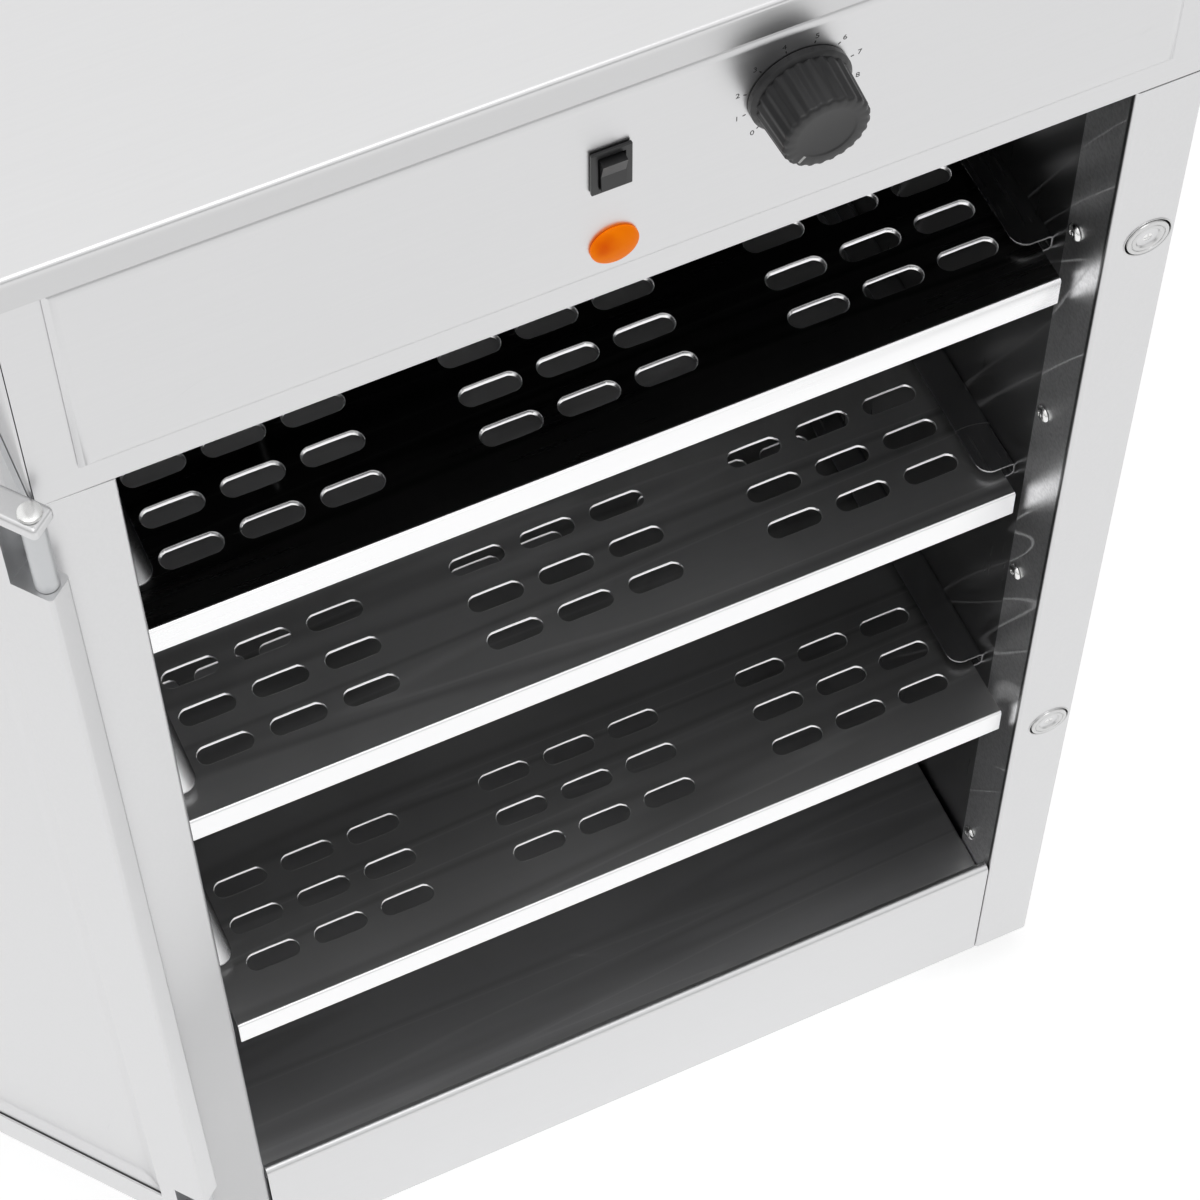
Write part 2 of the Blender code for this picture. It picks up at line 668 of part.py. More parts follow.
def make_door(root):
    """Door of a folded outer skin and a pressed inner panel, about its hinge pins, with its handle."""
    hinge = add_empty("door_axis", (pivot_x, pivot_y, 0), root)
    hinge.rotation_euler = (0, 0, -math.radians(DOOR_OPEN_DEGREES))
    shell = block("door_shell", (-door_edge, -door_half, door_bottom),
                  (door_free, door_half, door_top), SATIN_STEEL, hinge)
    bm = bmesh.new()
    prism_bmesh(rectangle((-door_edge + SHEET, -door_half + SHEET),
                          (door_free - SHEET, door_half - SHEET)),
                "Z", door_bottom + SHEET, door_top - SHEET, bm)
    cut([shell], "door_pocket", bm, hinge)
    bm = bmesh.new()
    prism_bmesh(rectangle((-door_edge + DOOR_FLANGE, 0), (door_free - DOOR_FLANGE, door_half + OVERRUN)),
                "Z", door_bottom + DOOR_FLANGE, door_top - DOOR_FLANGE, bm)
    cut([shell], "door_window", bm, hinge)
    bm = bmesh.new()
    for low in (door_bottom + NOTCH_BRIDGE, door_top - NOTCH_BRIDGE - NOTCH_HEIGHT):
        prism_bmesh(rectangle((-door_edge - OVERRUN, -door_half - OVERRUN),
                              (NOTCH_REACH, door_half + OVERRUN)), "Z", low, low + NOTCH_HEIGHT, bm)
    cut([shell], "door_notches", bm, hinge)
    bm = bmesh.new()
    for height in (door_bottom, door_top):
        round_hole("Z", (0, 0), PIN_RADIUS + FIT, height - 2 * SHEET, height + 2 * SHEET, bm)
    cut([shell], "door_pin_holes", bm, hinge)

    rim_y = door_half - SHEET - FIT
    panel_y = rim_y - DOOR_PRESS
    lap = DOOR_FLANGE - DOOR_FLANGE_LAP
    slope_end = DOOR_FLANGE_LAP + DOOR_PRESS_SLOPE
    rings = [(slope_end, panel_y - SHEET), (DOOR_FLANGE_LAP, rim_y - SHEET), (0, rim_y - SHEET),
             (0, rim_y), (DOOR_FLANGE_LAP, rim_y), (slope_end, panel_y)]
    ringed_plate("door_liner", (-door_edge + lap, door_bottom + lap), (door_free - lap, door_top - lap),
                 rings, INNER_STEEL, hinge)

    grip_x = door_free - HANDLE_INSET
    middle = (door_bottom + door_top) / 2
    foot_y = -door_half - FIT
    bar_y = foot_y - HANDLE_STANDOFF
    low, high = middle - HANDLE_CENTRES / 2, middle + HANDLE_CENTRES / 2
    route = rounded_path([(grip_x, foot_y, low), (grip_x, bar_y, low), (grip_x, bar_y, high),
                          (grip_x, foot_y, high)], [HANDLE_BEND] * 2, ARC_STEPS)
    tube("door_handle", route, HANDLE_RADIUS, NICKEL, hinge)
    make_hinge("top", door_top, -1, hinge, root)
    make_hinge("bottom", door_bottom, 1, hinge, root)


def make_hinge(which, door_end, inward, hinge, root):
    """Hinge leaf on the side wall, its knuckle in the door's notch, and the pin from the door's end."""
    low, high = sorted((door_end + inward * (NOTCH_BRIDGE + FIT),
                        door_end + inward * (NOTCH_BRIDGE + NOTCH_HEIGHT - FIT)))
    near = PIVOT_OUT - FIT
    far = near - LEAF_THICKNESS
    outer = PIN_RADIUS + FIT + KNUCKLE_WALL
    leaf_end = LEAF_REACH - pivot_y
    start = math.acos(far / outer)
    sweep = 2 * math.pi + math.acos(near / outer) - start
    outline = [(near, leaf_end), (far, leaf_end)]
    for step in range(ROUND_STEPS + 1):
        angle = start + sweep * step / ROUND_STEPS
        outline.append((outer * math.cos(angle), outer * math.sin(angle)))
    leaf = prism("hinge_leaf_" + which, outline, "Z", low, high, ZINC_STEEL, root,
                 (pivot_x, pivot_y, 0))
    bm = bmesh.new()
    round_hole("Z", (pivot_x, pivot_y), PIN_RADIUS + FIT, low - OVERRUN, high + OVERRUN, bm)
    cut([leaf], "hinge_bore_" + which, bm, root)

    seat = door_end - inward * FIT
    crown = seat - inward * PIN_HEAD_HEIGHT
    shoulder = (seat + crown) / 2
    tip = door_end + inward * (NOTCH_BRIDGE + NOTCH_HEIGHT + PIN_TIP)
    edge = PIN_HEAD_RADIUS - PIN_HEAD_HEIGHT / 2
    turned("hinge_pin_" + which,
           [(0, tip), (PIN_RADIUS, tip), (PIN_RADIUS, seat), (PIN_HEAD_RADIUS, seat),
            (PIN_HEAD_RADIUS, shoulder), (edge, crown), (0, crown)],
           "Z", ROUND_STEPS, NICKEL, hinge, (0, 0, 0))


def make_catches(panel, root):
    """Round magnetic catches let into the right stile, each held by a countersunk screw."""
    face = -FIT - CATCH_FLANGE
    hole = CATCH_SCREW_SHANK + FIT
    sink = CATCH_SCREW_HEAD + FIT
    groove = face + CATCH_GROOVE_DEPTH
    housing = [(sink, face), (CATCH_GROOVE_INNER, face),
               (CATCH_GROOVE_INNER + CATCH_CHAMFER, groove),
               (CATCH_GROOVE_OUTER - CATCH_CHAMFER, groove), (CATCH_GROOVE_OUTER, face),
               (CATCH_RADIUS - CATCH_CHAMFER, face), (CATCH_RADIUS, -FIT),
               (CATCH_BODY_RADIUS, -FIT), (CATCH_BODY_RADIUS, CATCH_BODY_DEPTH),
               (hole, CATCH_BODY_DEPTH), (hole, face + CATCH_SCREW_HEAD_DEPTH)]
    screw = [(0, face), (CATCH_SCREW_HEAD, face),
             (CATCH_SCREW_SHANK, face + CATCH_SCREW_HEAD_DEPTH),
             (CATCH_SCREW_SHANK, CATCH_BODY_DEPTH - FIT), (0, CATCH_BODY_DEPTH - FIT)]
    x = half_width - CATCH_INSET
    bm = bmesh.new()
    heights = {"lower": rail_top + CATCH_LOWER_RISE, "upper": opening_top - CATCH_UPPER_DROP}
    for which, height in heights.items():
        place = (x, 0, height)
        turned("catch_" + which, housing, "Y", FINE_STEPS, GREY_PLASTIC, root, place)
        turned("catch_screw_" + which, screw, "Y", ROUND_STEPS, NICKEL, root, place)
        round_hole("Y", (x, height), CATCH_BODY_RADIUS + FIT, -OVERRUN, SHEET + OVERRUN, bm)
    cut([panel], "catch_holes", bm, root)


def make_controls(fascia, root):
    """Raised control panel with the lamp, the rocker switch and the thermostat."""
    half = half_width - CONTROL_MARGIN
    rings = [(0, -FIT), (0, -FIT - CONTROL_RIM), (CONTROL_BEVEL, panel_face)]
    panel = ringed_plate("control_panel", (-half, control_bottom), (half, cover_bottom - FIT),
                         rings, SATIN_STEEL, root)
    lamp_z = control_bottom - HEADER_HEIGHT + LAMP_RISE
    switch_z = control_bottom - HEADER_HEIGHT + SWITCH_RISE
    knob_z = cover_bottom - KNOB_DROP
    behind = SHEET + FIT
    bm = bmesh.new()
    round_hole("Y", (LAMP_X, lamp_z), LAMP_BODY_RADIUS + FIT, panel_front - OVERRUN,
               behind + OVERRUN, bm)
    round_hole("Y", (KNOB_X, knob_z), SPINDLE_RADIUS + 2 * FIT, panel_front - OVERRUN,
               behind + OVERRUN, bm)
    body_x = SWITCH_WIDTH / 2 - SWITCH_BODY_INSET
    body_z = SWITCH_HEIGHT / 2 - SWITCH_BODY_INSET
    prism_bmesh(rectangle((SWITCH_X - body_x - FIT, switch_z - body_z - FIT),
                          (SWITCH_X + body_x + FIT, switch_z + body_z + FIT)), "Y",
                panel_front - OVERRUN, behind + OVERRUN, bm)
    cut([fascia, panel], "control_holes", bm, root)

    rim = panel_front - LAMP_RIM
    crown = rim - LAMP_DOME
    dome = [(0, crown)]
    for step in range(1, 5):
        angle = math.pi / 2 * step / 4
        dome.append((LAMP_RADIUS * math.sin(angle), rim - LAMP_DOME * math.cos(angle)))
    turned("lamp_lens", dome + [(LAMP_RADIUS, panel_front), (LAMP_BODY_RADIUS, panel_front),
                                (LAMP_BODY_RADIUS, LAMP_BODY_DEPTH), (0, LAMP_BODY_DEPTH)],
           "Y", FINE_STEPS, AMBER_PLASTIC, root, (LAMP_X, 0, lamp_z))
    turned("lamp_nut", [(LAMP_BODY_RADIUS + FIT, behind), (LAMP_NUT_RADIUS, behind),
                        (LAMP_NUT_RADIUS, behind + LAMP_NUT_DEPTH),
                        (LAMP_BODY_RADIUS + FIT, behind + LAMP_NUT_DEPTH)],
           "Y", ROUND_STEPS, BLACK_PLASTIC, root, (LAMP_X, 0, lamp_z))

    make_switch(body_x, body_z, switch_z, root)
    make_thermostat(knob_z, behind, root)


def make_switch(body_x, body_z, switch_z, root):
    """Rocker switch: a frame with its body behind the panel, and the rocker in its pocket."""
    bezel_front = panel_front - SWITCH_BEZEL
    outline_x, outline_z = SWITCH_WIDTH / 2, SWITCH_HEIGHT / 2
    side = [(-outline_x, bezel_front), (outline_x, bezel_front), (outline_x, panel_front),
            (body_x, panel_front), (body_x, SWITCH_BODY_DEPTH), (-body_x, SWITCH_BODY_DEPTH),
            (-body_x, panel_front), (-outline_x, panel_front)]
    frame = prism("switch_frame", side, "Z", -outline_z, outline_z, BLACK_PLASTIC, root,
                  (SWITCH_X, 0, switch_z))
    pocket_x, pocket_z = body_x - SWITCH_WALL, body_z - SWITCH_WALL
    bm = bmesh.new()
    prism_bmesh(rectangle((-pocket_x, -pocket_z), (pocket_x, pocket_z)), "Y",
                bezel_front - OVERRUN, bezel_front + SWITCH_POCKET_DEPTH, bm)
    for sign in (-1, 1):
        low, high = sorted((sign * body_z, sign * (outline_z + OVERRUN)))
        prism_bmesh(rectangle((-outline_x - OVERRUN, low), (outline_x + OVERRUN, high)), "Y",
                    panel_front, SWITCH_BODY_DEPTH + OVERRUN, bm)
    cut([frame], "switch_cuts", bm, root, (SWITCH_X, 0, switch_z))

    axis_y = bezel_front + ROCKER_BACK
    reach = pocket_z - ROCKER_END_CLEAR
    front = -ROCKER_BACK - ROCKER_RISE
    waist_share, dip_share, side_share, back_share = ROCKER_OUTLINE_SHARES
    waist = -ROCKER_BACK * waist_share
    side, back = reach * side_share, reach * back_share
    outline = [(front, -reach), (front + ROCKER_RISE * dip_share, 0), (front, reach), (waist, side),
               (ROCKER_BACK, back), (ROCKER_BACK, -back), (waist, -side)]
    rocker = prism("switch_rocker", outline, "X", -pocket_x + FIT, pocket_x - FIT,
                   BLACK_PLASTIC, root, (SWITCH_X, axis_y, switch_z))
    rocker.rotation_euler = (math.radians(ROCKER_DEGREES), 0, 0)


def make_thermostat(knob_z, behind, root):
    """Thermostat: knob, spindle, body behind the panel, and the capillary with its bulb."""
    bore = SPINDLE_RADIUS + FIT
    bore_end = panel_front - KNOB_BORE_DEPTH
    turned("thermostat_knob",
           [(0, knob_front), (KNOB_TOP_RADIUS - KNOB_EDGE, knob_front),
            (KNOB_TOP_RADIUS, knob_front + KNOB_EDGE), (KNOB_RADIUS, panel_front - KNOB_EDGE),
            (KNOB_RADIUS, panel_front), (bore, panel_front), (bore, bore_end), (0, bore_end)],
           "Y", FINE_STEPS, BLACK_PLASTIC, root, (KNOB_X, 0, knob_z))
    socket_end = THERMOSTAT_DEPTH / 2
    turned("thermostat_spindle",
           [(0, bore_end + FIT), (SPINDLE_RADIUS, bore_end + FIT),
            (SPINDLE_RADIUS, socket_end - FIT), (0, socket_end - FIT)],
           "Y", ROUND_STEPS, ZINC_STEEL, root, (KNOB_X, 0, knob_z))
    turned("thermostat_body",
           [(0, socket_end), (bore, socket_end), (bore, behind), (THERMOSTAT_RADIUS, behind),
            (THERMOSTAT_RADIUS, THERMOSTAT_DEPTH), (0, THERMOSTAT_DEPTH)],
           "Y", ROUND_STEPS, ZINC_STEEL, root, (KNOB_X, 0, knob_z))

    bulb_z = opening_top + SHEET + FIT + BULB_RADIUS
    turn_y = THERMOSTAT_DEPTH + CAPILLARY_REACH
    fat = BULB_RADIUS / CAPILLARY_RADIUS
    lead = rounded_path([(KNOB_X, THERMOSTAT_DEPTH + FIT, knob_z), (KNOB_X, turn_y, knob_z),
                         (KNOB_X, turn_y, bulb_z), (KNOB_X, turn_y + CAPILLARY_REACH, bulb_z)],
                        [CAPILLARY_BEND] * 2, ARC_STEPS)
    start = turn_y + CAPILLARY_REACH
    bulb = [(KNOB_X, start + BULB_RADIUS, bulb_z),
            (KNOB_X, start + BULB_RADIUS + BULB_LENGTH, bulb_z)]
    tube("thermostat_bulb", lead + bulb, CAPILLARY_RADIUS, COPPER, root,
         [1] * len(lead) + [fat] * len(bulb))


def make_heater(liner_back, base, back, root):
    """Tubular heater under the floor, its bracket, the terminal block and the cable inlet."""
    heater_z = base_top + HEATER_HEIGHT
    rear = inner_depth - HEATER_REAR_CLEAR
    tail = inner_depth + SHEET + HEATER_TAIL
    corners = []
    for run in range(HEATER_RUNS):
        x = (run - (HEATER_RUNS - 1) / 2) * HEATER_RUN_PITCH
        ends = [tail if run == 0 else rear, HEATER_FRONT]
        if run % 2:
            ends = [HEATER_FRONT, tail if run == HEATER_RUNS - 1 else rear]
        corners += [(x, y, heater_z) for y in ends]
    bends = [HEATER_RUN_PITCH * HEATER_BEND_SHARE] * (len(corners) - 2)
    tube("heater_element", rounded_path(corners, bends, ARC_STEPS), HEATER_RADIUS, DARK_STEEL, root)
    outer = (HEATER_RUNS - 1) / 2 * HEATER_RUN_PITCH
    bm = bmesh.new()
    for x in (-outer, outer):
        round_hole("Y", (x, heater_z), HEATER_RADIUS + FIT, inner_depth - OVERRUN,
                   inner_depth + SHEET + OVERRUN, bm)
    cut([liner_back], "heater_holes", bm, root)

    half = outer + HEATER_RADIUS * 3
    seat = heater_z - HEATER_RADIUS - FIT
    path = [(-half, base_top + FIT), (-half, seat), (half, seat), (half, base_top + FIT)]
    middle = (HEATER_FRONT + rear) / 2
    prism("heater_bracket", sheet_outline(path), "Y", middle - BRACKET_DEPTH / 2,
          middle + BRACKET_DEPTH / 2, ZINC_STEEL, root)

    gap_middle = (inner_depth + SHEET + CABINET_DEPTH - SHEET) / 2
    inlet_x = half_width - INLET_INSET
    low = gap_middle - TERMINAL_DEPTH / 2
    high = gap_middle + TERMINAL_DEPTH / 2
    floor = base_top + FIT
    outline = [(low, floor), (high, floor), (high, floor + TERMINAL_HEIGHT - TERMINAL_STEP),
               (gap_middle, floor + TERMINAL_HEIGHT - TERMINAL_STEP),
               (gap_middle, floor + TERMINAL_HEIGHT), (low, floor + TERMINAL_HEIGHT)]
    terminal_start = inlet_x - GLAND_FLANGE_RADIUS - TERMINAL_LENGTH - OVERRUN
    prism("terminal_block", outline, "X", terminal_start, terminal_start + TERMINAL_LENGTH,
          WHITE_PLASTIC, root)

    inlet_z = base_z + INLET_HEIGHT
    start = CABINET_DEPTH + FIT
    turned("cable_gland",
           [(GLAND_BORE, CABINET_DEPTH - GLAND_INSIDE), (GLAND_RADIUS, CABINET_DEPTH - GLAND_INSIDE),
            (GLAND_RADIUS, start), (GLAND_FLANGE_RADIUS, start),
            (GLAND_FLANGE_RADIUS, start + GLAND_FLANGE), (GLAND_RADIUS, start + GLAND_FLANGE),
            (GLAND_RADIUS * GLAND_TIP_SHARE, gland_end), (GLAND_BORE, gland_end)],
           "Y", ROUND_STEPS, BLACK_PLASTIC, root, (inlet_x, 0, inlet_z))
    bm = bmesh.new()
    round_hole("Y", (inlet_x, inlet_z), GLAND_RADIUS + FIT, CABINET_DEPTH - SHEET - OVERRUN,
               CABINET_DEPTH + OVERRUN, bm)
    cut([back], "gland_hole", bm, root)
    make_feet(base, root)


def make_feet(base, root):
    """Moulded feet with a spigot through the base."""
    top = base_z - FIT
    spigot_top = base_top + FOOT_SPIGOT
    front = RETURN_DEPTH + FIT + FOOT_END_INSET
    rear = inner_depth - FOOT_END_INSET
    bm = bmesh.new()
    for end, y in (("front", front), ("rear", rear)):
        for side, sign in (("left", -1), ("right", 1)):
            x = sign * (half_opening - FIT - SHEET - FOOT_CLEAR - FOOT_SPIGOT_RADIUS)
            turned(f"foot_{end}_{side}",
                   [(0, 0), (FOOT_RADIUS - FIT * 4, 0), (FOOT_RADIUS, FIT * 4),
                    (FOOT_TOP_RADIUS, top), (FOOT_SPIGOT_RADIUS, top),
                    (FOOT_SPIGOT_RADIUS, spigot_top), (0, spigot_top)],
                   "Z", FINE_STEPS, BLACK_PLASTIC, root, (x, y, 0))
            round_hole("Z", (x, y), FOOT_SPIGOT_RADIUS + FIT, base_z - OVERRUN,
                       base_top + OVERRUN, bm)
    cut([base], "foot_holes", bm, root)


def main():
    clear_scene()
    centre_x, centre_y = plan_centre()
    root = add_empty("cabinet_frame", (-centre_x, -centre_y, 0))
    left, right, fascia, base, back = make_shell(root)
    liner_back = make_liner((left, right), root)
    make_shelves(root)
    make_door(root)
    make_catches(right, root)
    make_controls(fascia, root)
    make_heater(liner_back, base, back, root)


main()
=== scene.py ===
"""Plate warmer cabinet, dressed: folded stainless sheet, punched shelves, a hinged door and its controls."""

import math

import bpy
from mathutils import Matrix, Vector


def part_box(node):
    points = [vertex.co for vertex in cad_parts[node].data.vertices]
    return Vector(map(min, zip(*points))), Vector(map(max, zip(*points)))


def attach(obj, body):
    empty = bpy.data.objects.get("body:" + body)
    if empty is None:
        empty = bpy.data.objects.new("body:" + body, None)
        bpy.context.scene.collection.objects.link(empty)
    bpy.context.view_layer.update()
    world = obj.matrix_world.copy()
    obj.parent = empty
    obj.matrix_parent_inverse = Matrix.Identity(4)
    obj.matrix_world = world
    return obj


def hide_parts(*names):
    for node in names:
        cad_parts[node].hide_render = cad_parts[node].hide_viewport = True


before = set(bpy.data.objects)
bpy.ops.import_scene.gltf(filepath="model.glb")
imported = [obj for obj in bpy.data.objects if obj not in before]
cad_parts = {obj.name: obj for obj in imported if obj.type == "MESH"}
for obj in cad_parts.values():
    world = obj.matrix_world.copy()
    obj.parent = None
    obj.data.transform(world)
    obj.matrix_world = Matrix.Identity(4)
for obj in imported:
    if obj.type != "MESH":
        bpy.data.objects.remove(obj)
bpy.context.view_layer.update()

# The studio: a white floor that lights the fronts from below, a surround that darkens towards the
# horizon, and a broad softbox overhead. The camera looks steeply down into the open cabinet.
LENS = 110.57
SENSOR_WIDTH = 36
CAMERA_FROM_FRONT = Vector((-0.3254, -0.6826, 1.7689))
CAMERA_TURN = (31.144, 0.241, -24.671)
CLIP_START = 0.01
SOFTBOX_PLACE = Vector((-0.3, -0.25, 2.9))
SOFTBOX_AIM = Vector((0, 0.1, 0.5))
SOFTBOX_SIZE = (1.6, 1.0)
SOFTBOX_POWER = 8
FLOOR_SIZE = 40.0
FLOOR_COLOUR = (0.84, 0.84, 0.84, 1)
FLOOR_GLOW = 0.70
SURROUND_COLOUR = (1, 1, 1, 1)
SURROUND_LIGHT = 0.34
HORIZON_LIGHT = 0.35
HORIZON_LOW = -0.05
HORIZON_HIGH = 0.6

bpy.context.scene.view_settings.view_transform = "Standard"
cabinet_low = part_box("side_panel_left")[0]
cabinet_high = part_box("side_panel_right")[1]
middle_x = (cabinet_low.x + cabinet_high.x) / 2
front_y = cabinet_low.y
front_foot = Vector((middle_x, front_y, 0))


def leave_edit():
    bpy.ops.object.mode_set(mode="OBJECT")


def deselect_all():
    if bpy.context.object and bpy.context.object.mode != "OBJECT":
        leave_edit()
    bpy.ops.object.select_all(action="DESELECT")


def feed(socket, source):
    """Sets an input; a node stands for its first output, and a pair for a node and one of its outputs."""
    if isinstance(source, bpy.types.Node):
        source = source, 0
    if isinstance(source, tuple) and isinstance(source[0], bpy.types.Node):
        source = source[0].outputs[source[1]]
    if isinstance(source, bpy.types.NodeSocket):
        socket.id_data.links.new(source, socket)
    else:
        socket.default_value = source


def adjust(node, **values):
    """Sets what is named like one of the node's inputs there, and anything else as its own setting."""
    for name, value in values.items():
        label = name.replace("_", " ")
        if label in node.inputs.keys():
            feed(node.inputs[label], value)
        else:
            setattr(node, name, value)


def add_node(nodes, kind, *sources, **values):
    """A shader node with its values; the sources feed its inputs in their order."""
    node = nodes.new("ShaderNode" + kind)
    adjust(node, **values)
    for socket, source in zip(node.inputs, sources):
        feed(socket, source)
    return node


def work_out(nodes, operation, *sources, **values):
    return add_node(nodes, "Math", *sources, operation=operation, **values)


def fade(nodes, source, low, high, start=0.0, end=1.0, way="SMOOTHSTEP"):
    """Goes from start to end while the source goes from low to high."""
    return add_node(nodes, "MapRange", source, interpolation_type=way, From_Min=low, From_Max=high,
                    To_Min=start, To_Max=end)


world = bpy.data.worlds.new("white_surround")
bpy.context.scene.world = world
world.use_nodes = True
nodes = world.node_tree.nodes
path_kind = add_node(nodes, "LightPath")
seen = work_out(nodes, "MAXIMUM", (path_kind, "Is Camera Ray"), (path_kind, "Is Glossy Ray"))
direction = add_node(nodes, "TexCoord")
spot = add_node(nodes, "SeparateXYZ", (direction, "Generated"))
rise = fade(nodes, (spot, "Z"), HORIZON_LOW, HORIZON_HIGH, HORIZON_LIGHT)
sky = work_out(nodes, "MAXIMUM", rise, (path_kind, "Is Camera Ray"))
level = add_node(nodes, "Mix", seen, A=SURROUND_LIGHT, B=sky)
adjust(nodes["Background"], Strength=level, Color=SURROUND_COLOUR)

deselect_all()
softbox_place = front_foot + SOFTBOX_PLACE
bpy.ops.object.light_add(type="AREA", location=softbox_place)
softbox = bpy.context.object
softbox.name = "overhead_softbox"
softbox.rotation_euler = (front_foot + SOFTBOX_AIM - softbox_place).to_track_quat("-Z", "Y").to_euler()
softbox.data.shape = "RECTANGLE"
softbox.data.size, softbox.data.size_y = SOFTBOX_SIZE
softbox.data.energy = SOFTBOX_POWER
softbox.visible_camera = False

deselect_all()
bpy.ops.mesh.primitive_plane_add(size=FLOOR_SIZE, location=(0, 0, 0))
floor = bpy.context.object
floor.name = "white_floor"
material = bpy.data.materials.new("floor_white")
material.use_nodes = True
nodes = material.node_tree.nodes
nodes.clear()
path_kind = add_node(nodes, "LightPath")
seen = work_out(nodes, "MAXIMUM", (path_kind, "Is Camera Ray"), (path_kind, "Is Glossy Ray"))
seen_through = work_out(nodes, "MAXIMUM", seen, (path_kind, "Is Transmission Ray"))
matte = add_node(nodes, "BsdfDiffuse", Color=FLOOR_COLOUR)
glow = add_node(nodes, "Emission", Strength=work_out(nodes, "MULTIPLY", seen_through, FLOOR_GLOW))
add_node(nodes, "OutputMaterial", add_node(nodes, "AddShader", matte, glow))
floor.data.materials.append(material)

deselect_all()
bpy.ops.object.camera_add(location=front_foot + CAMERA_FROM_FRONT,
                          rotation=[math.radians(a) for a in CAMERA_TURN])
camera = bpy.context.object
camera.name = "photo_camera"
camera.data.lens = LENS
camera.data.sensor_width = SENSOR_WIDTH
camera.data.clip_start = CLIP_START
bpy.context.scene.camera = camera

# The outer shell: 1 mm satin stainless, folded. Each side wall runs round the front corner into a
# stile and a return flange, the bottom rail is a deep fold with a rounded top, and the fascia is a
# strip across the top. They are riveted and spot welded to the inner walls.
SHEET = 0.001
FIT = 0.0003
BEND = 0.002
BEND_FACETS = 6
STILE_WIDTH = 0.030
RETURN_DEPTH = 0.028
REAR_FLANGE = 0.018
RAIL_CAP = 0.0055
RAIL_CAP_LIP = 0.0155
RAIL_BEND = 0.003
FASCIA_FOLD = 0.0008
TOP_FLANGE = 0.022
CUT_EDGE = 0.00015
SHARP_CORNER = 50
SAME_PLACE = 0.00004
SATIN = (0.70, 0.70, 0.706, 1)
ZINC = (0.60, 0.61, 0.62, 1)
SHEET_BUMP = 0.35
HAIRLINE_DULLNESS = 0.25
HAIRLINE_DEPTH = 0.6
RUB_SLOPE = math.radians(-60)
RUB_SIZE = (0.022, 0.20, 0.022)
FLANGE_RUBBING = 0.8


def new_group(name, inputs, outputs):
    """A shader node group with named sockets, its input node and its output node."""
    group = bpy.data.node_groups.new(name, "ShaderNodeTree")
    for label, kind, value in inputs:
        socket = group.interface.new_socket(label, in_out="INPUT", socket_type="NodeSocket" + kind)
        if value is not None:
            socket.default_value = value
    for label, kind in outputs:
        group.interface.new_socket(label, in_out="OUTPUT", socket_type="NodeSocket" + kind)
    return group, group.nodes.new("NodeGroupInput"), group.nodes.new("NodeGroupOutput")


def tinted(nodes, colour, factor):
    return add_node(nodes, "VectorMath", colour, operation="SCALE", Scale=factor)


def make_rolled_grain():
    """Fine lines of rolled or brushed sheet, with larger clouds of handling marks over them."""
    group, given, made = new_group(
        "rolled_grain",
        [("Vector", "Vector", None), ("Stretch", "Vector", (30, 900, 900)),
         ("Cloud Scale", "Float", 7.0), ("Color", "Color", (0.7, 0.7, 0.7, 1)),
         ("Shade", "Float", 0.06), ("Roughness", "Float", 0.3), ("Rough Change", "Float", 0.1)],
        [("Color", "Color"), ("Roughness", "Float"), ("Height", "Float")])
    nodes = group.nodes
    stretch = add_node(nodes, "VectorMath", (given, "Vector"), (given, "Stretch"), operation="MULTIPLY")
    lines = add_node(nodes, "TexNoise", stretch, Scale=1.0, Detail=3.0, Roughness=0.6)
    clouds = add_node(nodes, "TexNoise", (given, "Vector"), Scale=(given, "Cloud Scale"), Detail=4.0,
                      Roughness=0.55, Distortion=0.4)
    mixed = work_out(nodes, "MULTIPLY_ADD", lines, 0.5, work_out(nodes, "MULTIPLY", clouds, 0.5))
    swing = work_out(nodes, "SUBTRACT", mixed, 0.5)
    rough = work_out(nodes, "MULTIPLY_ADD", swing, (given, "Rough Change"), (given, "Roughness"))
    shade = work_out(nodes, "MULTIPLY_ADD", swing, (given, "Shade"), 1.0)
    adjust(made, Color=tinted(nodes, (given, "Color"), shade), Roughness=rough, Height=lines)
    return group


def distance_off(nodes, source, middle):
    """How far an output is from one number, on either side."""
    return work_out(nodes, "ABSOLUTE", work_out(nodes, "SUBTRACT", source, middle))


def fine_lines(nodes, vector, scale, distortion, width, patch_scale, patch_low, patch_high):
    """Lines where one noise passes its middle, kept only in the patches of another."""
    swirl = add_node(nodes, "TexNoise", vector, Scale=scale, Detail=0.0, Distortion=distortion)
    line = fade(nodes, distance_off(nodes, swirl, 0.5), 0.0, width, 1.0, 0.0, "LINEAR")
    where = add_node(nodes, "TexNoise", vector, Scale=patch_scale, Detail=1.0)
    return work_out(nodes, "MULTIPLY", line, fade(nodes, where, patch_low, patch_high))


def make_hairlines():
    """A mask of sparse, long, slightly curved hairline scratches, as handling leaves."""
    group, given, made = new_group("hairlines", [("Vector", "Vector", None), ("Scale", "Float", 9.0),
                                                 ("Width", "Float", 0.003), ("Rarity", "Float", 0.66)],
                                   [("Mask", "Float")])
    adjust(made, Mask=fine_lines(group.nodes, (given, "Vector"), (given, "Scale"), distortion=0.8,
                                 width=(given, "Width"), patch_scale=23.0,
                                 patch_low=(given, "Rarity"), patch_high=0.72))
    return group


def make_rub_arcs():
    """A mask of thin arcs, as sliding shelves leave; its vector comes in already stretched."""
    group, given, made = new_group("rub_arcs", [("Vector", "Vector", None)], [("Mask", "Float")])
    adjust(made, Mask=fine_lines(group.nodes, (given, "Vector"), 1.0, distortion=0.2, width=0.013,
                                 patch_scale=0.8, patch_low=0.34, patch_high=0.46))
    return group


rolled_grain = make_rolled_grain()
hairlines = make_hairlines()
rub_arcs = make_rub_arcs()


def on_piece(nodes):
    """The Object coordinates of a material's piece."""
    return nodes["Texture Coordinate"], "Object"


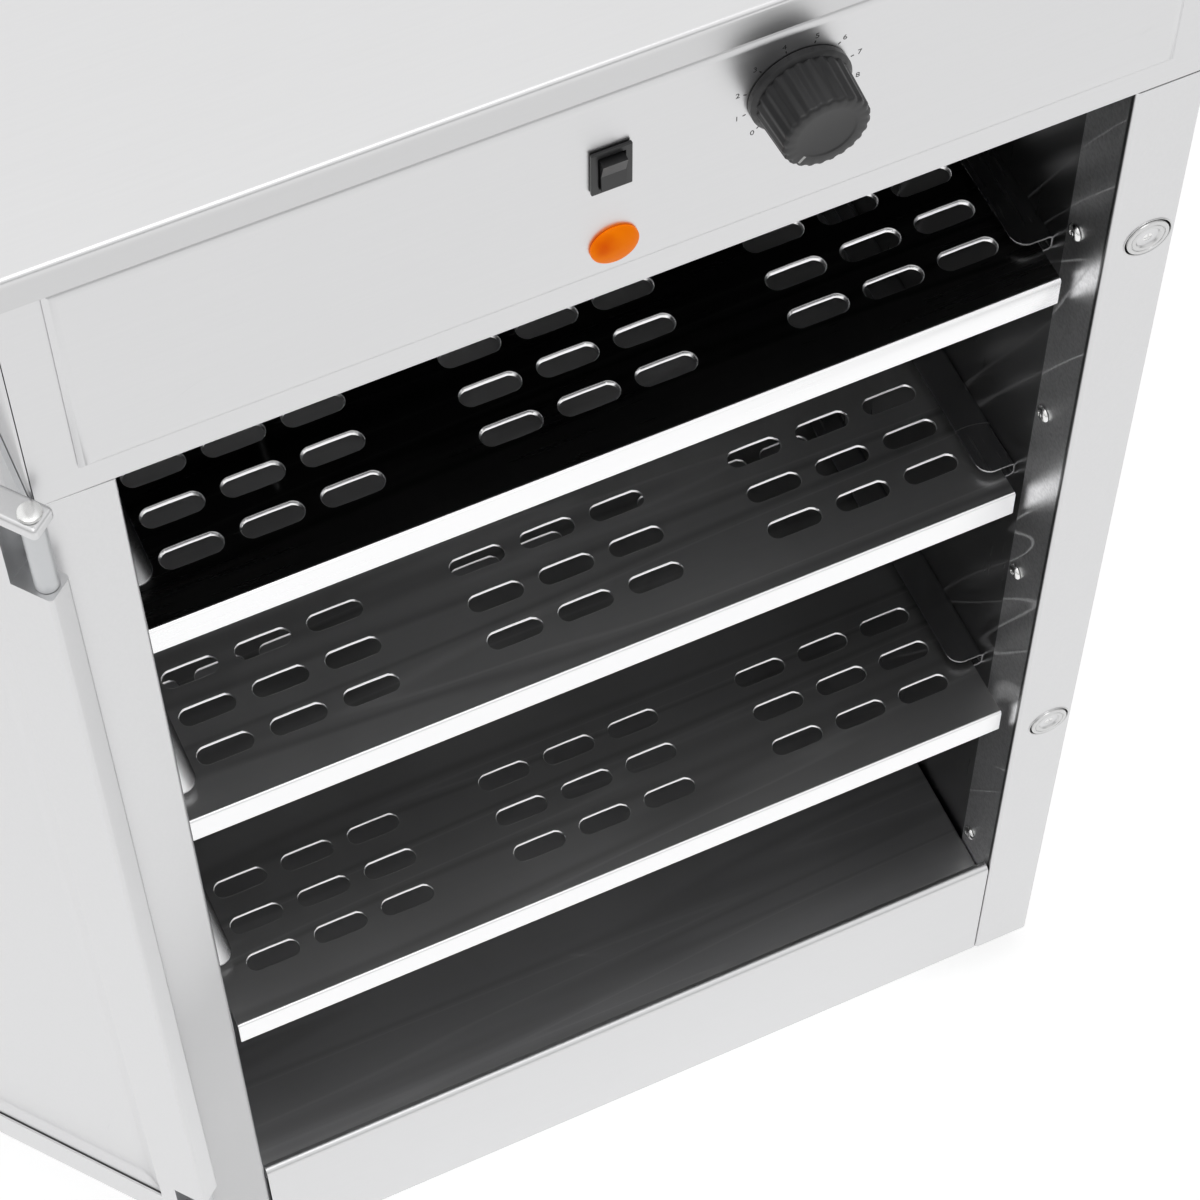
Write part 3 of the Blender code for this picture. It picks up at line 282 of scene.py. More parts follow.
def grained(name, colour, roughness, stretch, change, shade, cloud_scale):
    """A material with the rolled grain, and its grain node."""
    material = bpy.data.materials.new(name)
    material.use_nodes = True
    nodes = material.node_tree.nodes
    add_node(nodes, "TexCoord")
    grain = add_node(nodes, "Group", node_tree=rolled_grain, Vector=on_piece(nodes), Stretch=stretch,
                     Cloud_Scale=cloud_scale, Color=colour, Shade=shade, Roughness=roughness,
                     Rough_Change=change)
    adjust(nodes["Principled BSDF"], Base_Color=(grain, "Color"), Roughness=(grain, "Roughness"))
    return material, grain


def sheet_metal(name, colour, roughness, stretch, change=0.12, shade=0.08, cloud_scale=7.0,
                metallic=1.0, relief=0.00001):
    """Stainless sheet: grain lines along one direction, soft clouds and a few hairlines."""
    material, grain = grained(name, colour, roughness, stretch, change, shade, cloud_scale)
    nodes = material.node_tree.nodes
    scratch = add_node(nodes, "Group", node_tree=hairlines, Vector=on_piece(nodes))
    rough = work_out(nodes, "MULTIPLY_ADD", scratch, HAIRLINE_DULLNESS, (grain, "Roughness"), use_clamp=True)
    height = work_out(nodes, "MULTIPLY_ADD", scratch, -HAIRLINE_DEPTH, (grain, "Height"))
    bump = add_node(nodes, "Bump", Strength=SHEET_BUMP, Distance=relief, Height=height)
    adjust(nodes["Principled BSDF"], Metallic=metallic, Roughness=rough, Normal=bump)
    return material


def add_rub_marks(material, strength, where=None):
    """Arcs rubbed by the shelves, which catch light from all round; where is an optional mask."""
    nodes = material.node_tree.nodes
    stretch = add_node(nodes, "Mapping", on_piece(nodes), vector_type="TEXTURE",
                       Rotation=(RUB_SLOPE, 0, 0), Scale=RUB_SIZE)
    arcs = add_node(nodes, "Group", node_tree=rub_arcs, Vector=stretch)
    if where:
        arcs = work_out(nodes, "MULTIPLY", arcs, where)
    dull = work_out(nodes, "MULTIPLY_ADD", arcs, -strength, 1.0)
    adjust(nodes["Principled BSDF"], Metallic=dull)


def shade_colour(nodes, factor):
    """Multiplies the colour that a material has so far."""
    colour = nodes["Principled BSDF"].inputs["Base Color"]
    feed(colour, tinted(nodes, colour.links[0].from_socket, factor))


upright_satin, back_satin = [
    sheet_metal(name, SATIN, roughness=0.34, stretch=(800, 800, 400), change=0.2, shade=0.15,
                relief=0.00003) for name in ("satin_upright", "satin_back")]
level_satin = sheet_metal("satin_level", SATIN, roughness=0.33, stretch=(26, 700, 700))


def choose(thing):
    """Makes one piece the selected and the active one."""
    deselect_all()
    thing.select_set(True)
    bpy.context.view_layer.objects.active = thing


def pick(thing, kind, test):
    """Enters edit mode on one piece with only the corners, edges or faces that pass the test selected."""
    choose(thing)
    mesh = thing.data
    for parts in (mesh.vertices, mesh.edges, mesh.polygons):
        for part in parts:
            part.select = False
    if kind == "VERT":
        for vertex in mesh.vertices:
            vertex.select = test(vertex.co)
    elif kind == "EDGE":
        for edge in mesh.edges:
            ends = [mesh.vertices[i] for i in edge.vertices]
            if test(ends[0].co, ends[1].co):
                edge.select = ends[0].select = ends[1].select = True
    else:
        for face in mesh.polygons:
            face.select = test(face.center, face.normal)
    bpy.context.tool_settings.mesh_select_mode = (kind == "VERT", kind == "EDGE", kind == "FACE")
    bpy.ops.object.mode_set(mode="EDIT")


def every_face(centre, normal):
    return True


def extrude(step):
    bpy.ops.mesh.extrude_region_move(TRANSFORM_OT_translate={"value": step})


def apply_place(thing):
    choose(thing)
    bpy.ops.object.transform_apply(location=True, rotation=True, scale=True)


def modify(thing, kind, **values):
    """Adds one modifier, sets it and applies it."""
    choose(thing)
    modifier = thing.modifiers.new(kind.lower(), kind)
    for name, value in values.items():
        setattr(modifier, name, value)
    bpy.ops.object.modifier_apply(modifier=modifier.name)


def round_edges(thing, radius, facets, test):
    """Rounds the edges that pass the test."""
    pick(thing, "EDGE", test)
    bpy.ops.mesh.bevel(offset=radius, segments=facets, profile=0.5, affect="EDGES")
    leave_edit()


def soften_edges(thing, width=CUT_EDGE, segments=2):
    modify(thing, "BEVEL", width=width, segments=segments, limit_method="ANGLE",
           angle_limit=math.radians(SHARP_CORNER), harden_normals=True, use_clamp_overlap=True)


def thicken(thing):
    modify(thing, "SOLIDIFY", thickness=SHEET, offset=-1, use_even_offset=True)


def smooth(thing, angle=32):
    choose(thing)
    bpy.ops.object.shade_smooth_by_angle(angle=math.radians(angle))
    modify(thing, "WEIGHTED_NORMAL", mode="FACE_AREA", weight=80, keep_sharp=True)


def outward(thing):
    pick(thing, "FACE", every_face)
    bpy.ops.mesh.select_all(action="SELECT")
    bpy.ops.mesh.normals_make_consistent(inside=False)
    leave_edit()


def add_rectangle(name, middle, turn, width, length):
    """A flat rectangle, ready to be folded or pressed."""
    deselect_all()
    bpy.ops.mesh.primitive_plane_add(size=1, location=middle, rotation=turn)
    thing = bpy.context.object
    thing.name = name
    thing.scale = (width, length, 1)
    apply_place(thing)
    return thing


def folded_sheet(name, path, run, bends):
    """A sheet folded along a path of points, whose left side seen down the run is its outer face."""
    path = [Vector(point) for point in path]
    run = Vector(run)
    along = run.normalized()
    across = path[1] - path[0]
    turn = Matrix((across.normalized(), along, across.cross(run).normalized())).transposed()
    thing = add_rectangle(name, (path[0] + path[1] + run) / 2, turn.to_euler(), across.length, run.length)

    def on_fold(corner):
        return lambda a, b: all((p - corner).cross(along).length < SAME_PLACE for p in (a, b))

    for start, end in zip(path[1:], path[2:]):
        pick(thing, "EDGE", on_fold(start))
        extrude(end - start)
        leave_edit()
    for corner, radius in zip(path[1:-1], bends):
        round_edges(thing, radius, BEND_FACETS, on_fold(corner))
    thicken(thing)
    return thing


def add_block(name, low, high):
    """A block between two corners, ready to be shaped."""
    low, high = Vector(low), Vector(high)
    deselect_all()
    bpy.ops.mesh.primitive_cube_add(size=1, location=(low + high) / 2)
    thing = bpy.context.object
    thing.name = name
    thing.scale = high - low
    apply_place(thing)
    return thing


def join_on(thing, other, operation="UNION"):
    """Joins another solid to a piece, or cuts it out of the piece with DIFFERENCE, and removes it."""
    modify(thing, "BOOLEAN", operation=operation, solver="EXACT", object=other)
    bpy.data.objects.remove(other, do_unlink=True)


def cut_away(thing, cutter):
    join_on(thing, cutter, "DIFFERENCE")


def fit_out(thing, finish, slot, body, *solids):
    """Gives a finished piece its material, its body and the solids that it stands for."""
    deselect_all()
    thing.data.materials.clear()
    thing.data.materials.append(finish)
    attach(thing, body)
    if solids:
        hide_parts(*solids)
    return thing


def refinish(finish, *names):
    """Gives CAD pieces whose shape is already right a better material."""
    for name in names:
        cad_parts[name].material_slots[0].material = finish


def mirror_copy(thing, name):
    """A copy of a piece on the other side of the cabinet's middle plane."""
    choose(thing)
    bpy.ops.object.duplicate(linked=False)
    copy = bpy.context.object
    copy.name = name
    for key in list(copy.keys()):
        del copy[key]
    copy.parent = None
    copy.matrix_world = Matrix.Identity(4)
    pick(copy, "FACE", every_face)
    bpy.ops.transform.resize(value=(-1, 1, 1), center_override=(middle_x, 0, 0))
    bpy.ops.mesh.flip_normals()
    leave_edit()
    return copy


opening_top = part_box("fascia_frame")[0].z
rail_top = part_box("bottom_rail")[1].z
shell_base = cabinet_low.z
shell_top = cabinet_high.z
back_y = cabinet_high.y
half_width = (cabinet_high.x - cabinet_low.x) / 2
half_opening = half_width - STILE_WIDTH


def in_plan(x, y, z):
    """A point from the middle of the cabinet's front edge."""
    return Vector((middle_x + x, front_y + y, z))


def tray_path(low, high, y, edge_z, sheet_z):
    """The path across the cabinet of a sheet at sheet_z whose two side edges are folded to edge_z."""
    half = (high.x - low.x) / 2
    return [in_plan(x, y - front_y, z)
            for x, z in ((-half, edge_z), (-half, sheet_z), (half, sheet_z), (half, edge_z))]


# A darker line is painted along the fold between each stile and its return flange, as painted shade
# in the crease. The flange itself is painted a little brighter as painted light, and speckled and rubbed by
# the shelves.
FOLD_LINE_DEPTH = 0.0019
FOLD_LINE_CORE = 0.0005
FOLD_LINE_FADE = 0.0013
FOLD_LINE_PAINTED_SHADE = 0.22
FLANGE_PAINTED_LIGHT = 0.28
FLANGE_SPECKLE = 0.16
SPECKLE_SCALE = 700.0
SPECKLE_LOW = 0.3
SPECKLE_HIGH = 0.7
fold_y = front_y + FOLD_LINE_DEPTH
nodes = upright_satin.node_tree.nodes
spot = add_node(nodes, "SeparateXYZ", on_piece(nodes))
inside = work_out(nodes, "LESS_THAN", distance_off(nodes, (spot, "X"), middle_x), half_opening + SHEET)
# Painted shade: a thin darker line in the colour along the stile's fold.
fold = fade(nodes, distance_off(nodes, (spot, "Y"), fold_y), FOLD_LINE_CORE, FOLD_LINE_FADE,
            FOLD_LINE_PAINTED_SHADE - 1, 0.0)
past_fold = fade(nodes, (spot, "Y"), fold_y, fold_y + FOLD_LINE_FADE)
on_flange = work_out(nodes, "MULTIPLY", past_fold, inside)
# Painted light: the return flange's colour is lifted brighter, with a random speckle in that lift.
speckle = add_node(nodes, "TexNoise", on_piece(nodes), Scale=SPECKLE_SCALE, Detail=2.0)
flange_painted_light = fade(nodes, speckle, SPECKLE_LOW, SPECKLE_HIGH, FLANGE_PAINTED_LIGHT - FLANGE_SPECKLE,
            FLANGE_PAINTED_LIGHT + FLANGE_SPECKLE, "LINEAR")
flange_light_factor = work_out(nodes, "MULTIPLY_ADD", on_flange, flange_painted_light, 1.0)
add_rub_marks(upright_satin, FLANGE_RUBBING, on_flange)
shade_colour(nodes, work_out(nodes, "MULTIPLY_ADD", fold, inside, flange_light_factor))

deep = back_y - front_y
side = folded_sheet("side_wall_right",
                    [in_plan(half_opening, RETURN_DEPTH, shell_base), in_plan(half_opening, 0, shell_base),
                     in_plan(half_width, 0, shell_base), in_plan(half_width, deep, shell_base),
                     in_plan(half_width - REAR_FLANGE, deep, shell_base)],
                    (0, 0, shell_top - shell_base), [BEND] * 3)
cut_away(side, add_block("stile_top_cut", in_plan(half_opening - BEND, -BEND, opening_top - FIT),
                         in_plan(half_width - SHEET, RETURN_DEPTH + BEND, shell_top + BEND)))
soften_edges(side)
smooth(side)
other_side = mirror_copy(side, "side_wall_left")
fit_out(side, upright_satin, "satin_steel", "cabinet", "side_panel_right")
fit_out(other_side, upright_satin, "satin_steel", "cabinet", "side_panel_left")
refinish(back_satin, "back_panel")

rail_low, rail_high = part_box("bottom_rail")
rail_path = ((RAIL_CAP, rail_top - RAIL_CAP_LIP), (RAIL_CAP, rail_top), (0, rail_top), (0, shell_base),
             (RETURN_DEPTH, shell_base))
rail = folded_sheet("front_rail", [in_plan(rail_low.x - middle_x, y, z) for y, z in rail_path],
                    (rail_high.x - rail_low.x, 0, 0), [BEND, RAIL_BEND, BEND])
soften_edges(rail)
smooth(rail)
fit_out(rail, level_satin, "satin_steel", "cabinet", "bottom_rail")

fascia_low, fascia_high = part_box("fascia_frame")
fascia_path = ((TOP_FLANGE, shell_top), (0, shell_top), (0, opening_top), (RETURN_DEPTH, opening_top))
fascia = folded_sheet("fascia_strip", [in_plan(fascia_low.x - middle_x, y, z) for y, z in fascia_path],
                      (fascia_high.x - fascia_low.x, 0, 0), [BEND, FASCIA_FOLD])
soften_edges(fascia)
smooth(fascia)
fit_out(fascia, level_satin, "satin_steel", "cabinet", "fascia_frame")

base_low, base_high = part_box("base_pan")
zinc = sheet_metal("zinc_plate", ZINC, roughness=0.42, stretch=(60, 60, 60), change=0.25, shade=0.25,
                   cloud_scale=30, relief=0.00003)
base = folded_sheet("base_tray", tray_path(base_low, base_high, base_low.y, base_high.z, shell_base),
                    (0, base_high.y - base_low.y, 0), [BEND] * 2)
smooth(base)
fit_out(base, zinc, "zinc_steel", "cabinet", "base_pan")

# The top cover: one sheet of bright stainless, its four edges folded down over the shell. The rounded
# fold runs all round, and the folded-down edge carries painted shade, a little darker than the top.
COVER_EDGE = 0.002
FACING = 0.5
COVER_LIP_PAINTED_SHADE = 0.82
COVER_SHADE_LOW = 2 * COVER_EDGE
COVER_SHADE_HIGH = COVER_EDGE / 20
BRIGHT = (0.76, 0.76, 0.765, 1)
bright = sheet_metal("bright_top", BRIGHT, roughness=0.30, stretch=(26, 700, 700))
cover_low, cover_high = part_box("top_cover")
nodes = bright.node_tree.nodes
spot = add_node(nodes, "SeparateXYZ", on_piece(nodes))
# Painted shade: the colour darkens down the folded-down edge, below the rounded fold.
shade_colour(nodes, fade(nodes, (spot, "Z"), cover_high.z - COVER_SHADE_LOW,
                         cover_high.z - COVER_SHADE_HIGH, COVER_LIP_PAINTED_SHADE))
cover = add_block("cover_sheet", cover_low, cover_high)
pick(cover, "FACE", lambda centre, normal: normal.z < -FACING)
bpy.ops.mesh.delete(type="FACE")
leave_edit()
round_edges(cover, COVER_EDGE, BEND_FACETS, lambda a, b: max(a.z, b.z) > cover_high.z - SAME_PLACE)
thicken(cover)
soften_edges(cover)
smooth(cover)
fit_out(cover, bright, "bright_steel", "cabinet", "top_cover")

# The inner cabinet: glossy rolled sheet for the walls, back and floor, with the walls and back darkened
# as painted shade, and a near-black ceiling that is painted shade. The sheets are lapped behind the
# stile returns and riveted there, and the floor's edges are folded down.
INNER_WALL_PAINTED_SHADE = (0.31, 0.31, 0.315, 1)
INNER_BACK_PAINTED_SHADE = (0.28, 0.28, 0.285, 1)
INNER_FLOOR = (0.66, 0.66, 0.665, 1)
CEILING_PAINTED_SHADE = (0.003, 0.003, 0.003, 1)
WALL_RUBBING = 0.6
WAVE_PAINTED_REFLECTIONS = ((0.455, 0.055, 0.62), (0.525, 0.016, 1.3))
BAND_STRETCH = (1.7, 38, 8)
BAND_BUMP = 0.4
BAND_RELIEF = 0.0003
BANDED_GRAIN_BUMP = 0.12
# Painted shade: the walls and back get dark colours that stand in for the shade inside the cabinet.
inner_upright = sheet_metal("inner_upright", INNER_WALL_PAINTED_SHADE, roughness=0.28, stretch=(500, 500, 14), change=0.05,
                            shade=0.1, cloud_scale=9)
add_rub_marks(inner_upright, WALL_RUBBING)
inner_back = sheet_metal("inner_back", INNER_BACK_PAINTED_SHADE, roughness=0.28, stretch=(14, 500, 500), change=0.16,
                         shade=0.2, cloud_scale=9)
# Painted shade: a near-black, matt ceiling that keeps the top shelf dark.
ceiling_painted_shade = sheet_metal("ceiling_black_painted_shade", CEILING_PAINTED_SHADE, roughness=0.7, stretch=(60, 60, 60), change=0.2,
                         shade=0.4, cloud_scale=9, metallic=0.0)
adjust(ceiling_painted_shade.node_tree.nodes["Principled BSDF"], Specular_IOR_Level=0.0)
refinish(inner_upright, "liner_side_left", "liner_side_right")
refinish(inner_back, "liner_back")
refinish(ceiling_painted_shade, "liner_ceiling")


def make_rolling_bands():
    """Painted reflections of a rolled sheet's waves: soft dark bands, each with a thin painted highlight
    ridge beside it; the waves' height also drives a real bump.
    """
    group, given, made = new_group(
        "wave_painted_reflections", [("Vector", "Vector", None), ("Color", "Color", (0.7, 0.7, 0.7, 1)),
                          ("Strength", "Float", 1.0)],
        [("Color", "Color"), ("Height", "Float")])
    nodes = group.nodes
    waves = add_node(nodes, "TexNoise", (given, "Vector"), Scale=1.0, Detail=1.0, Distortion=0.35)
    # Painted reflection: a dark band and a light ridge in the colour at each crest of the waves.
    dark, light = [fade(nodes, distance_off(nodes, waves, middle), 0.0, reach, peak)
                   for middle, reach, peak in WAVE_PAINTED_REFLECTIONS]
    swing = work_out(nodes, "SUBTRACT", work_out(nodes, "MULTIPLY", dark, light), 1.0)
    shade = work_out(nodes, "MULTIPLY_ADD", swing, (given, "Strength"), 1.0)
    adjust(made, Color=tinted(nodes, (given, "Color"), shade), Height=waves)
    return group


wave_painted_reflections = make_rolling_bands()


def banded_sheet(name, shift, colour, roughness, strength):
    """Bright rolled sheet whose colour carries the waves' painted reflections across the depth of the
    cabinet, with a real bump from the same waves; shift sets where they fall.
    """
    material = sheet_metal(name, colour, roughness, (12, 420, 420), change=0.08, shade=0.10, cloud_scale=11)
    nodes = material.node_tree.nodes
    shader = nodes["Principled BSDF"]
    stretch = add_node(nodes, "Mapping", on_piece(nodes), Location=(shift, shift, 0), Scale=BAND_STRETCH)
    bands = add_node(nodes, "Group", node_tree=wave_painted_reflections, Strength=strength, Vector=stretch,
                     Color=shader.inputs["Base Color"].links[0].from_socket)
    waves = add_node(nodes, "Bump", Strength=BAND_BUMP, Distance=BAND_RELIEF, Height=(bands, "Height"))
    adjust(nodes["Bump"], Strength=BANDED_GRAIN_BUMP, Normal=waves)
    adjust(shader, Base_Color=(bands, "Color"))
    return material


inner_floor_steel = banded_sheet("inner_floor_steel", shift=5.3, colour=INNER_FLOOR, roughness=0.34,
                                 strength=0.35)
liner_low, liner_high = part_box("liner_floor")
liner_y = front_y + RAIL_CAP + FIT
liner_path = tray_path(liner_low, liner_high, liner_y, liner_low.z, liner_high.z)
liner_floor = folded_sheet("inner_floor", liner_path, (0, liner_high.y - liner_y, 0), [SHEET] * 2)
smooth(liner_floor)
fit_out(liner_floor, inner_floor_steel, "inner_steel", "cabinet", "liner_floor")

# The pop rivets that join the stile returns to the inner walls: a domed flange with the broken end
# of its mandrel in a hollow in the middle.
RIVET_RADIUS = 0.0040
RIVET_HEIGHT = 0.0019
RIVET_SIDES = 32
RIVETS_PER_SIDE = 5
RIVET_PROFILE_SHARES = ((1.0, 0.0), (1.0, 0.10), (0.96, 0.34), (0.87, 0.60), (0.74, 0.80), (0.58, 0.94),
                        (0.43, 1.0), (0.36, 0.96), (0.32, 0.70), (0.27, 0.70), (0.24, 0.92), (0.17, 1.0),
                        (0.02, 1.0))
NICKEL = (0.86, 0.86, 0.85, 1)


def add_disc(name, radius, sides, middle, turn=(0, 0, 0)):
    """A flat disc with its face selected, ready to be extruded."""
    deselect_all()
    bpy.ops.mesh.primitive_circle_add(vertices=sides, radius=radius, fill_type="NGON", location=middle,
                                      rotation=turn)
    thing = bpy.context.object
    thing.name = name
    apply_place(thing)
    pick(thing, "FACE", every_face)
    return thing


def turned_piece(name, centre, axis, profile, sides):
    """A round piece: a disc whose face is extruded through (radius, distance along the axis) steps."""
    centre, axis = Vector(centre), Vector(axis).normalized()
    radius, distance = profile[0]
    thing = add_disc(name, radius, sides, centre + axis * distance, axis.to_track_quat("Z", "Y").to_euler())
    for next_radius, next_distance in profile[1:]:
        extrude(axis * (next_distance - distance))
        if abs(next_radius - radius) > SAME_PLACE / 10:
            bpy.ops.transform.resize(value=(next_radius / radius,) * 3,
                                     center_override=centre + axis * next_distance)
        radius, distance = next_radius, next_distance
    leave_edit()
    outward(thing)
    return thing


nickel = sheet_metal("nickel_plate", NICKEL, roughness=0.24, stretch=(400, 400, 400), change=0.14,
                     shade=0.1, cloud_scale=200)
for side_name, sign in (("left", 1), ("right", -1)):
    for number in range(1, RIVETS_PER_SIDE + 1):
        solid = f"rivet_{side_name}_{number}"
        low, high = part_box(solid)
        seat = Vector((middle_x - sign * (half_opening - FIT), (low.y + high.y) / 2, (low.z + high.z) / 2))
        rivet = turned_piece(f"pop_rivet_{side_name}_{number}", seat, (sign, 0, 0),
                             [(r * RIVET_RADIUS, h * RIVET_HEIGHT) for r, h in RIVET_PROFILE_SHARES],
                             RIVET_SIDES)
        smooth(rivet, angle=50)
        fit_out(rivet, nickel, "nickel", "cabinet", solid)

# The runners: channels folded from sheet and spot welded to the inner walls, with their front corners
# rounded off. Each pair holds one shelf.
RUNNER_BEND = 0.0015
RUNNER_CORNER = 0.007
RUNNER_CORNER_FACETS = 8
RUNNER = (0.5, 0.5, 0.505, 1)
LEVELS = ("bottom", "middle", "top")
runner_steel = sheet_metal("runner_steel", RUNNER, roughness=0.26, stretch=(500, 14, 500), change=0.16,
                           shade=0.15)
for level_name in LEVELS:
    low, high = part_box(f"runner_{level_name}_right")
    corners = [Vector((x, low.y, z))
               for x, z in ((low.x, low.z), (high.x, low.z), (high.x, high.z), (low.x, high.z))]
    runner = folded_sheet(f"runner_channel_{level_name}_right", corners, (0, high.y - low.y, 0),
                          [RUNNER_BEND] * 2)
    round_edges(runner, RUNNER_CORNER, RUNNER_CORNER_FACETS,
                lambda a, b: max(a.x - low.x, b.x - low.x, a.y - low.y, b.y - low.y) < SAME_PLACE)
    soften_edges(runner)
    smooth(runner)
    other = mirror_copy(runner, f"runner_channel_{level_name}_left")
    fit_out(runner, runner_steel, "inner_steel", "cabinet", f"runner_{level_name}_right")
    fit_out(other, runner_steel, "inner_steel", "cabinet", f"runner_{level_name}_left")

# The three shelves: bright sheet with punched slots in groups of nine, each slot's rim drawn down a
# little by the punch, and with the front and rear edges folded down. They slide in the runners.
# Each deck has its bands' shift, its brightness, its roughness and its bands' strength; the brightness is
# painted shade, darkest on the top shelf.
SHELF_LIP = 0.0157
SHELF_REAR_LIP = 0.012
SHELF_REAR_INSET = 0.0155
SHELF_BEND = 0.0014
SLOT_LENGTH = 0.025
SLOT_WIDTH = 0.009
SLOT_PITCH = 0.0328
SLOT_ROW_PITCH = 0.020
SLOT_FRONT_MARGIN = 0.0267
SLOT_END_FACETS = 14
SLOTS_PER_GROUP = 3
GROUPS = 3
SLOT_RIM = 0.0006
SLOT_RIM_DROPS = {"top": 0.0012, "middle": 0.0006, "bottom": 0.0006}
SLOT_EDGE = 0.00028
SLOT_FLARE_WIDTH = 0.0006
SLOT_FLARE_DEPTH = 0.00085
RIM_FADE_LOW = 0.00012
RIM_FADE_HIGH = 0.00003
# Painted highlight: the near-white colour of the shelves' lips, undersides and slot rims.
SHELF_LIP_PAINTED_HIGHLIGHT = (0.97, 0.97, 0.975, 1)
SHELF_DECKS = {"top": (0.0, 0.25, 0.28, 1.0), "middle": (3.1, 0.85, 0.32, 0.6),
               "bottom": (7.7, 0.58, 0.32, 0.5)}


def bright_lip(material, front_edge, deck_top):
    """Paints the folded-down lip, the underside and the slots' rims near white as a painted highlight,
    without the deck's painted shade and bands.
    """
    nodes = material.node_tree.nodes
    colour = nodes["Principled BSDF"].inputs["Base Color"]
    spot = add_node(nodes, "SeparateXYZ", on_piece(nodes))
    on_lip = fade(nodes, (spot, "Y"), front_edge + SHELF_BEND / 2, front_edge + SHELF_BEND * 3 / 2, 1.0, 0.0)
    below = fade(nodes, (spot, "Z"), deck_top - RIM_FADE_LOW, deck_top - RIM_FADE_HIGH, 1.0, 0.0, "LINEAR")
    painted_highlight_mask = work_out(nodes, "MAXIMUM", on_lip, below)
    both = add_node(nodes, "Mix", painted_highlight_mask, data_type="RGBA")
    feed(both.inputs[6], colour.links[0].from_socket)
    feed(both.inputs[7], SHELF_LIP_PAINTED_HIGHLIGHT)
    feed(colour, (both, 2))
    return material


def slot_tool(name, place, grow, low, high, pitches, flare=0.0):
    """A punch for every slot: one round-ended bar, wider at its top by flare, arrayed over the groups."""
    radius = SLOT_WIDTH / 2 + grow
    tool = add_disc(name, radius, 2 * SLOT_END_FACETS, (place.x, place.y, low))
    extrude((0, 0, high - low))
    widening = 1 + flare / radius
    bpy.ops.transform.resize(value=(widening, widening, 1), center_override=(place.x, place.y, high))
    leave_edit()
    straight = (SLOT_LENGTH - SLOT_WIDTH) / 2
    for end in (-1, 1):
        pick(tool, "VERT", lambda co: (co.x - place.x) * end > SAME_PLACE)
        bpy.ops.transform.translate(value=(end * straight, 0, 0))
        leave_edit()
    outward(tool)
    for step, count in pitches:
        modify(tool, "ARRAY", count=count, use_relative_offset=False, use_constant_offset=True,
               constant_offset_displace=step)
    return tool


for level_name in LEVELS:
    solid = "shelf_" + level_name
    low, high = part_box(solid)
    top = high.z
    shelf = folded_sheet("shelf_sheet_" + level_name,
                         [(low.x, high.y, top - SHELF_REAR_LIP), (low.x, high.y, top),
                          (low.x, low.y, top), (low.x, low.y, top - SHELF_LIP)],
                         (high.x - low.x, 0, 0), [SHELF_BEND] * 2)
    group_pitch = SLOT_PITCH * (SLOTS_PER_GROUP + 1)
    first_row = SLOT_FRONT_MARGIN + SLOT_ROW_PITCH * (SLOTS_PER_GROUP - 1) / 2
    deep_pitch = (high.y - low.y - 2 * first_row) / (GROUPS - 1)
    first = Vector(((low.x + high.x) / 2 - group_pitch * (GROUPS - 1) / 2
                    - SLOT_PITCH * (SLOTS_PER_GROUP - 1) / 2, low.y + SLOT_FRONT_MARGIN, 0))
    pitches = [((SLOT_PITCH, 0, 0), SLOTS_PER_GROUP), ((0, SLOT_ROW_PITCH, 0), SLOTS_PER_GROUP),
               ((group_pitch, 0, 0), GROUPS), ((0, deep_pitch, 0), GROUPS)]
    join_on(shelf, slot_tool("slot_rims", first, SLOT_RIM, top - SHEET - SLOT_RIM_DROPS[level_name],
                             top - SHEET / 2, pitches))
    cut_away(shelf, slot_tool("slot_punch", first, 0, top - SHELF_LIP, top + SHEET, pitches))
    if level_name == "top":
        flare_slope = SLOT_FLARE_WIDTH / SLOT_FLARE_DEPTH
        cut_away(shelf, slot_tool("slot_flare", first, -CUT_EDGE * flare_slope,
                                  top - SLOT_FLARE_DEPTH - CUT_EDGE, top + CUT_EDGE, pitches,
                                  (SLOT_FLARE_DEPTH + 2 * CUT_EDGE) * flare_slope))
    for corner_x, inner_x in ((low.x, low.x + SHELF_REAR_INSET), (high.x, high.x - SHELF_REAR_INSET)):
        cut_away(shelf, add_block("rear_corner_cut",
                                  (min(corner_x, inner_x) - BEND, high.y - BEND - SHEET, top - SHELF_LIP),
                                  (max(corner_x, inner_x) + BEND, high.y + BEND, top + BEND)))
    soften_edges(shelf, SLOT_EDGE)
    smooth(shelf)
    # Painted shade: each deck's colour is set darker or lighter by where it stands, darkest on the top
    # shelf.
    band_shift, deck_painted_shade, deck_roughness, band_strength = SHELF_DECKS[level_name]
    shelf_steel = banded_sheet("shelf_steel_" + level_name, band_shift, (deck_painted_shade,) * 3 + (1,),
                               deck_roughness, band_strength)
    fit_out(shelf, bright_lip(shelf_steel, low.y, top), "bright_steel", solid, solid)

# The door: an outer skin folded round its four edges into a return flange, and a pressed inner panel
# behind that flange. It turns on two pins in knuckles at its left edge, and stands wide open.
DOOR_OPEN_DEGREES = 232.0
DOOR_THICKNESS = 0.012
DOOR_FLANGE = 0.0256
DOOR_FLANGE_LAP = 0.008
DOOR_PRESS = 0.0025
DOOR_PRESS_SLOPE = 0.009
DOOR_BEND = 0.0018
DOOR_BEND_FACETS = 4
DOOR_EDGE = 0.0056
DOOR_REACH = 0.4525
PRESS_BEND = 0.003
PRESS_FACETS = 5
NOTCH_BRIDGE = 0.005
NOTCH_HEIGHT = 0.039
NOTCH_REACH = 0.011
door_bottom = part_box("door_shell")[0].z
door_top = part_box("door_shell")[1].z
pin_low, pin_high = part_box("hinge_pin_top")
pivot = Vector(((pin_low.x + pin_high.x) / 2, (pin_low.y + pin_high.y) / 2, 0))
door_half = DOOR_THICKNESS / 2


